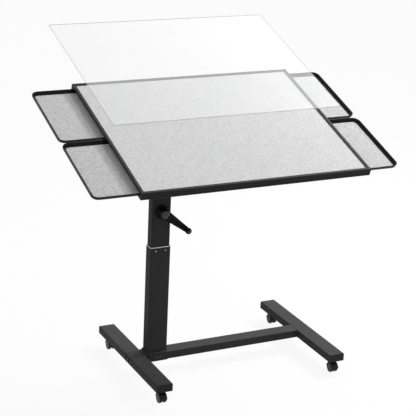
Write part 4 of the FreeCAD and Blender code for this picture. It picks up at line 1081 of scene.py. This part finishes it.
def build_clamp():
    """Hand knob with lobes, a hub towards the bracket and a dish in its face."""
    stud = joint_place("clamp_turn")
    matrix = facing((box("clamp_knob")[0].x, stud.y, stud.z), (1, 0, 0))
    top = CLAMP_HUB_H + CLAMP_H
    hub = CLAMP_HUB_D / 2

    def lobed(inset):
        def at(turn):
            dip = (0.5 + 0.5 * math.cos(CLAMP_LOBES * turn)) ** CLAMP_LOBE_POWER
            return CLAMP_D / 2 - inset - CLAMP_LOBE_DEPTH * dip
        return at

    shape = Shape()
    rows = [(CLAMP_BORE_D / 2, 0.0), (hub - CLAMP_EDGE, 0.0), (hub, CLAMP_EDGE), (hub, CLAMP_HUB_H)]
    rows += [(lobed(inset), CLAMP_HUB_H + level) for inset, level in CLAMP_SKIRT]
    rows += [(lobed(inset), top + level) for inset, level in CLAMP_CROWN]
    rows += [(radius, top + level) for radius, level in CLAMP_DISH]
    add_turned(shape, rows, matrix, CLAMP_STEPS)
    put(shape, "clamp_hand_knob", "clamp", "black_plastic", ["clamp_knob"], smooth=SMOOTH_ROUND)


def build_head_bolts():
    """Pivot bolt with a socket in its head, and its nut."""
    low, high = box("pivot_bolt")
    shape = Shape()
    seat = high.x - HEAD_H_SHARE * PIVOT_BOLT_D
    add_bolt(shape, PIVOT_BOLT_D, seat - low.x, facing((seat, PIVOT.y, PIVOT.z), (1, 0, 0)))
    add_nut(shape, PIVOT_BOLT_D, facing((2 * PIVOT.x - seat, PIVOT.y, PIVOT.z), (-1, 0, 0)))
    put(shape, "pivot_bolt_and_nut", "column", "dark_fasteners", ["pivot_bolt"])


def build_bracket_screws():
    """Pan head screws that hold the tilt bracket under the top."""
    shape = Shape()
    pitch_x, pitch_y = BRACKET_SCREW_PITCH
    for side_x in (-1, 1):
        for side_y in (-1, 1):
            x = PIVOT.x - TOP_X + side_x * pitch_x / 2
            matrix = TOP @ facing((x, side_y * pitch_y / 2, BRACKET_UNDER - PIVOT_DROP), (0, 0, -1))
            add_bolt(shape, BRACKET_SCREW_D, BRACKET_SCREW_L, matrix, "cross")
    put(shape, "bracket_pan_screws", "top", "dark_fasteners", ["bracket_screws"])


# Base

def build_end_caps():
    """Caps in the open ends of the feet: a plug, and a crowned face outside."""
    lead, lead_l = CAP_LEAD
    rows = [(CAP_WALL + lead, -CAP_PLUG_L), (CAP_WALL, lead_l - CAP_PLUG_L), (CAP_WALL, 0.0), (0.0, 0.0)]
    rows += [(inset, CAP_T + level) for inset, level in CAP_CROWN]
    for name in ("left", "right"):
        low, high = box(name + "_foot")
        width, length, height = high - low
        for side, out in (("front", -1), ("back", 1)):
            place = (low + high) / 2 + Vector((0, out * length / 2, 0))
            matrix = Matrix.Translation(place) @ Matrix.Rotation(math.radians(-90 * out), 4, "X")
            shape = Shape()
            add_swept(shape, rectangle(width, height, TUBE_R), rows, matrix, CAP_LEAST_R)
            piece = put(shape, name + "_" + side + "_end_cap", "base", "black_plastic",
                        smooth=SMOOTH_ROUND)
            if (name, side) == ("left", "front"):
                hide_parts("foot_end_caps")


def beside_column(pitch):
    """Two places in X, half a pitch to each side of the column's middle."""
    return PIVOT.x - pitch / 2, PIVOT.x + pitch / 2


def build_foot_bolts():
    shape = Shape()
    for foot, out in (("left_foot", -1), ("right_foot", 1)):
        low, high = box(foot)
        x = low.x if out < 0 else high.x
        for y in (PIVOT.y - FOOT_BOLT_PITCH / 2, PIVOT.y + FOOT_BOLT_PITCH / 2):
            add_bolt(shape, FOOT_BOLT_D, FOOT_BOLT_L, facing((x, y, middle(foot).z), (out, 0, 0)))
    put(shape, "foot_socket_bolts", "base", "dark_fasteners", ["foot_bolts"])


def build_saddle_bolts():
    low, high = box("column_saddle")
    length = box("saddle_bolts")[1].y - low.y
    z = middle("saddle_bolts").z
    shape = Shape()
    for x in beside_column(SADDLE_BOLT_PITCH):
        add_bolt(shape, SADDLE_BOLT_D, length, facing((x, low.y, z), (0, -1, 0)))
        add_nut(shape, SADDLE_BOLT_D, facing((x, high.y, z), (0, 1, 0)))
    put(shape, "saddle_socket_bolts", "base", "dark_fasteners", ["saddle_bolts"])


def build_liner_screws():
    """Two small pan head screws on the front of the outer tube."""
    front = box("outer_column_tube")[0].y
    shape = Shape()
    for x in beside_column(LINER_SCREW_PITCH):
        matrix = facing((x, front, middle("liner_screws").z), (0, -1, 0))
        add_bolt(shape, LINER_SCREW_D, LINER_SCREW_L, matrix, "cross")
    put(shape, "liner_pan_screws", "base", "bare_steel", ["liner_screws"], ["dull_screws"])


def build_column_weld():
    """Weld bead where the outer tube stands on its saddle."""
    shape = Shape()
    low, high = box("outer_column_tube")
    width, depth, length = high - low
    outline = rounded_outline(rectangle(width, depth, COLUMN_R, PIVOT.x, PIVOT.y), WELD_BITE)
    count = len(outline)
    points = []
    for i, (x, y) in enumerate(outline):
        along = (Vector(outline[(i + 1) % count]) - Vector(outline[i - 1])).normalized()
        for reach, height in arc(0, low.z, WELD_R, 0, 360, WELD_STEPS)[:-1]:
            points.append((x + along.y * reach, y - along.x * reach, height))
    faces = []
    for i in range(count):
        row = i * WELD_STEPS
        after = (i + 1) % count * WELD_STEPS
        for k in range(WELD_STEPS):
            k2 = (k + 1) % WELD_STEPS
            faces.append([row + k, after + k, after + k2, row + k2])
    shape.add(points, faces)
    put(shape, "column_weld", "base", "powder_coat", smooth=SMOOTH_WELD)


# Casters

def add_hood(shape, centre):
    """Half ring over the wheels with rounded edges."""
    inner = WHEEL_D / 2 + HOOD_GAP + HOOD_ROUND
    outer = WHEEL_D / 2 + HOOD_GAP + HOOD_T - HOOD_ROUND
    x = HOOD_W / 2 - HOOD_ROUND
    section = []
    for at_x, at_r, start in ((x, outer, 0), (-x, outer, 90), (-x, inner, 180), (x, inner, 270)):
        section += arc(at_x, at_r, HOOD_ROUND, start, start + 90, 3)
    points = []
    for i in range(HOOD_STEPS + 1):
        turn = math.pi * i / HOOD_STEPS
        points += [(x, r * math.cos(turn), r * math.sin(turn)) for x, r in section]
    matrix = Matrix.Translation(centre)
    shape.add(points, grid_faces(HOOD_STEPS + 1, len(section)), matrix)
    add_ends(shape, points, len(section), matrix)


def add_caster_frame(shape, stem, centre):
    """Web between the wheels, the block that joins it to the hood, and the collar on the stem."""
    crown = centre.z + WHEEL_D / 2 + HOOD_GAP
    across = facing(centre - Vector((WEB_T / 2, 0, 0)), (1, 0, 0))
    rows = [(WEB_R - WEB_EDGE, 0.0), (WEB_R, WEB_EDGE), (WEB_R, WEB_T - WEB_EDGE),
            (WEB_R - WEB_EDGE, WEB_T)]
    add_turned(shape, rows, across)
    block = rectangle(WEB_T, 2 * WEB_R, BLOCK_CORNER_R, centre.x, centre.y)
    rows = [(0.0, centre.z), (0.0, crown - BLOCK_SINK - BLOCK_EDGE), (BLOCK_LEAN, crown - BLOCK_SINK)]
    add_swept(shape, block, rows, None, BLOCK_LEAST_R)
    collar = COLLAR_D / 2
    bore = STEM_D / 2 + COLLAR_PLAY
    flare = collar + COLLAR_FLARE
    rows = [(flare, crown - COLLAR_SINK)]
    rows += arc(flare, crown - COLLAR_FOOT + COLLAR_FLARE, COLLAR_FLARE, 270, 180, 5)
    rows += [(collar - inset, COLLAR_TOP + level) for inset, level in COLLAR_CROWN]
    rows += [(bore, COLLAR_TOP), (bore, COLLAR_TOP - COLLAR_BORE_L)]
    add_turned(shape, rows, Matrix.Translation((stem.x, stem.y, 0)))


def add_wheel(shape, centre, side):
    """One dished wheel: rounded tread, a groove round the hub cap and the axle's cap."""
    matrix = facing(centre + Vector((side * WHEEL_GAP, 0, 0)), (side, 0, 0))
    radius = WHEEL_D / 2
    rim = radius - WHEEL_RIM_W
    lip = (rim - WHEEL_LIP, WHEEL_W - WHEEL_LIP_DROP)
    back = radius - WHEEL_BACK_R
    rows = [(WHEEL_BORE_R, 0.0), (back, 0.0)]
    rows += arc(back, WHEEL_BACK_R, WHEEL_BACK_R, 270, 360, 3)
    rows += arc(radius - WHEEL_ROUND, WHEEL_W - WHEEL_ROUND, WHEEL_ROUND, 0, 90, 5)
    rows += [(rim, WHEEL_W), lip]
    add_turned(shape, rows, matrix, FINE_STEPS)
    face = WHEEL_W - WHEEL_DISH
    groove_in, groove_h = WHEEL_GROOVE
    rows = [(lip[0], face - WHEEL_DISH_BACK), lip, (rim - groove_in, face + groove_h)]
    rows += [(cap_r, face + level) for cap_r, level in HUB_CAP]
    add_turned(shape, rows, matrix, FINE_STEPS, slot=1)


def build_casters():
    stems = Shape()
    for name in ("left_front", "left_back", "right_front", "right_back"):
        stem = joint_place(name + "_swivel")
        centre = joint_place(name + "_roll")
        housing = Shape()
        add_hood(housing, centre)
        add_caster_frame(housing, stem, centre)
        put(housing, name + "_caster_hood", name + "_fork", "black_plastic",
            [name + "_caster_housing"], smooth=SMOOTH_ROUND)
        wheels = Shape()
        for side in (-1, 1):
            add_wheel(wheels, centre, side)
        axle = [(AXLE_D / 2, -AXLE_REACH), (AXLE_D / 2, AXLE_REACH)]
        add_turned(wheels, axle, facing(centre, (1, 0, 0)), AXLE_STEPS)
        put(wheels, name + "_caster_twin_wheels", name + "_roller", "caster_tread",
            [name + "_caster_wheels"], ["caster_tread", "caster_hub"], SMOOTH_WHEEL)
        at = Vector((stem.x, stem.y, box("left_foot")[0].z))
        add_nut(stems, STEM_HEX / NUT_AF_SHARE, Matrix.Translation(at - UP * STEM_HEX_H), STEM_HEX_H)
        add_thread_rod(stems, STEM_D, STEM_THREAD_L, Matrix.Translation(at))
        pin = [(STEM_D / 2 - STEM_EDGE, -STEM_PIN_L), (STEM_D / 2, STEM_EDGE - STEM_PIN_L),
               (STEM_D / 2, 0.0)]
        add_turned(stems, pin, Matrix.Translation(at - UP * STEM_HEX_H), STEM_STEPS)
    put(stems, "caster_threaded_stems", "base", "dark_fasteners", ["caster_stems"])


# Lifting screw

def build_lifting_screw():
    """Core, shoulder, journal and a two start thread of the coupling's lead."""
    centre = middle("lifting_screw")
    low, high = box("lifting_screw")
    shoulder = box("screw_bearing_plate")[0].z - SCREW_PLATE_GAP
    foot = shoulder - SCREW_SHOULDER_H
    core = SCREW_CORE_D / 2
    outer = SCREW_D / 2
    journal = SCREW_JOURNAL_D / 2
    shape = Shape()
    rows = [(core - SCREW_TIP_EDGE, low.z), (core, low.z + SCREW_TIP_EDGE), (core, foot),
            (outer - SCREW_SHOULDER_EDGE, foot), (outer, foot + SCREW_SHOULDER_EDGE), (outer, shoulder),
            (journal, shoulder), (journal, high.z - SCREW_JOURNAL_EDGE),
            (journal - SCREW_JOURNAL_EDGE, high.z)]
    add_turned(shape, rows, Matrix.Translation((centre.x, centre.y, 0)), BOLT_STEPS)
    width = SCREW_LEAD / SCREW_STARTS / 2
    root = core - THREAD_SINK
    section = ((root, -width * THREAD_FOOT_SHARE), (outer, -width * THREAD_CREST_SHARE),
               (outer, width * THREAD_CREST_SHARE), (root, width * THREAD_FOOT_SHARE))
    bottom = low.z + THREAD_FROM_TIP
    steps = int((shoulder - THREAD_FROM_SHOULDER - bottom) / SCREW_LEAD * THREAD_STEPS)
    for start in range(SCREW_STARTS):
        points = []
        for i in range(steps + 1):
            turn = 2 * math.pi * (i / THREAD_STEPS + start / SCREW_STARTS)
            z = bottom + SCREW_LEAD * i / THREAD_STEPS
            for r, h in section:
                points.append((centre.x + r * math.cos(turn), centre.y + r * math.sin(turn), z + h))
        shape.add(points, grid_faces(steps + 1, len(section)))
        add_ends(shape, points, len(section))
    put(shape, "threaded_lifting_screw", "screw", "bare_steel", ["lifting_screw"])


# Stage

def add_light(name, kind, power, place, target):
    light = to_scene(name, bpy.data.lights.new(name, kind))
    light.data.energy = power
    light.location = place
    direction = Vector(target) - light.location
    light.rotation_euler = direction.to_track_quat("-Z", "Y").to_euler()
    return light


def build_stage():
    mesh = bpy.data.meshes.new("studio_floor")
    corners = [(-FLOOR_HALF, -FLOOR_HALF, 0), (FLOOR_HALF, -FLOOR_HALF, 0), (FLOOR_HALF, FLOOR_HALF, 0),
               (-FLOOR_HALF, FLOOR_HALF, 0)]
    mesh.from_pydata(corners, [], [[0, 1, 2, 3]])
    floor = to_scene("studio_floor", mesh)
    floor.data.materials.append(floor_material())

    world = bpy.data.worlds.new("studio")
    world.use_nodes = True
    bpy.context.scene.world = world
    tree = world.node_tree
    strength = spread(tree, seen_directly(tree), 0.0, 1.0, AMBIENT, 1.0)
    fill(tree, tree.nodes["Background"], {"Color": WHITE, "Strength": strength})

    sun = add_light("soft_sun", "SUN", SUN_STRENGTH, Vector(SUN_DIRECTION) * SUN_AWAY, (0, 0, 0))
    sun.data.angle = math.radians(SUN_ANGLE)
    soft_box = add_light("soft_box", "AREA", KEY_POWER, KEY_PLACE, KEY_TARGET)
    soft_box.data.size = KEY_SIZE
    window = add_light("window", "AREA", WINDOW_POWER, WINDOW_PLACE, WINDOW_TARGET)
    window.data.size = WINDOW_SIZE
    window.visible_glossy = False


def build_camera():
    turn = (Matrix.Rotation(math.radians(CAMERA_AZIMUTH), 4, "Z")
            @ Matrix.Rotation(math.radians(90 - CAMERA_ELEVATION), 4, "X")
            @ Matrix.Rotation(math.radians(CAMERA_ROLL), 4, "Z"))
    camera = to_scene("photo_camera", bpy.data.cameras.new("photo_camera"))
    camera.matrix_world = Matrix.Translation(CAMERA_PLACE) @ turn
    camera.data.lens = CAMERA_LENS
    camera.data.sensor_width = SENSOR_WIDTH
    camera.data.sensor_fit = "HORIZONTAL"
    bpy.context.scene.camera = camera
    bpy.context.scene.view_settings.view_transform = "Standard"


dress_nodes()
build_board_felt()
build_trays()
build_cover()
build_crank_housing()
build_crank_arm()
build_crank_knob()
build_clamp()
build_head_bolts()
build_bracket_screws()
build_end_caps()
build_foot_bolts()
build_saddle_bolts()
build_liner_screws()
build_column_weld()
build_casters()
build_lifting_screw()
build_stage()
build_camera()

bpy.context.view_layer.update()
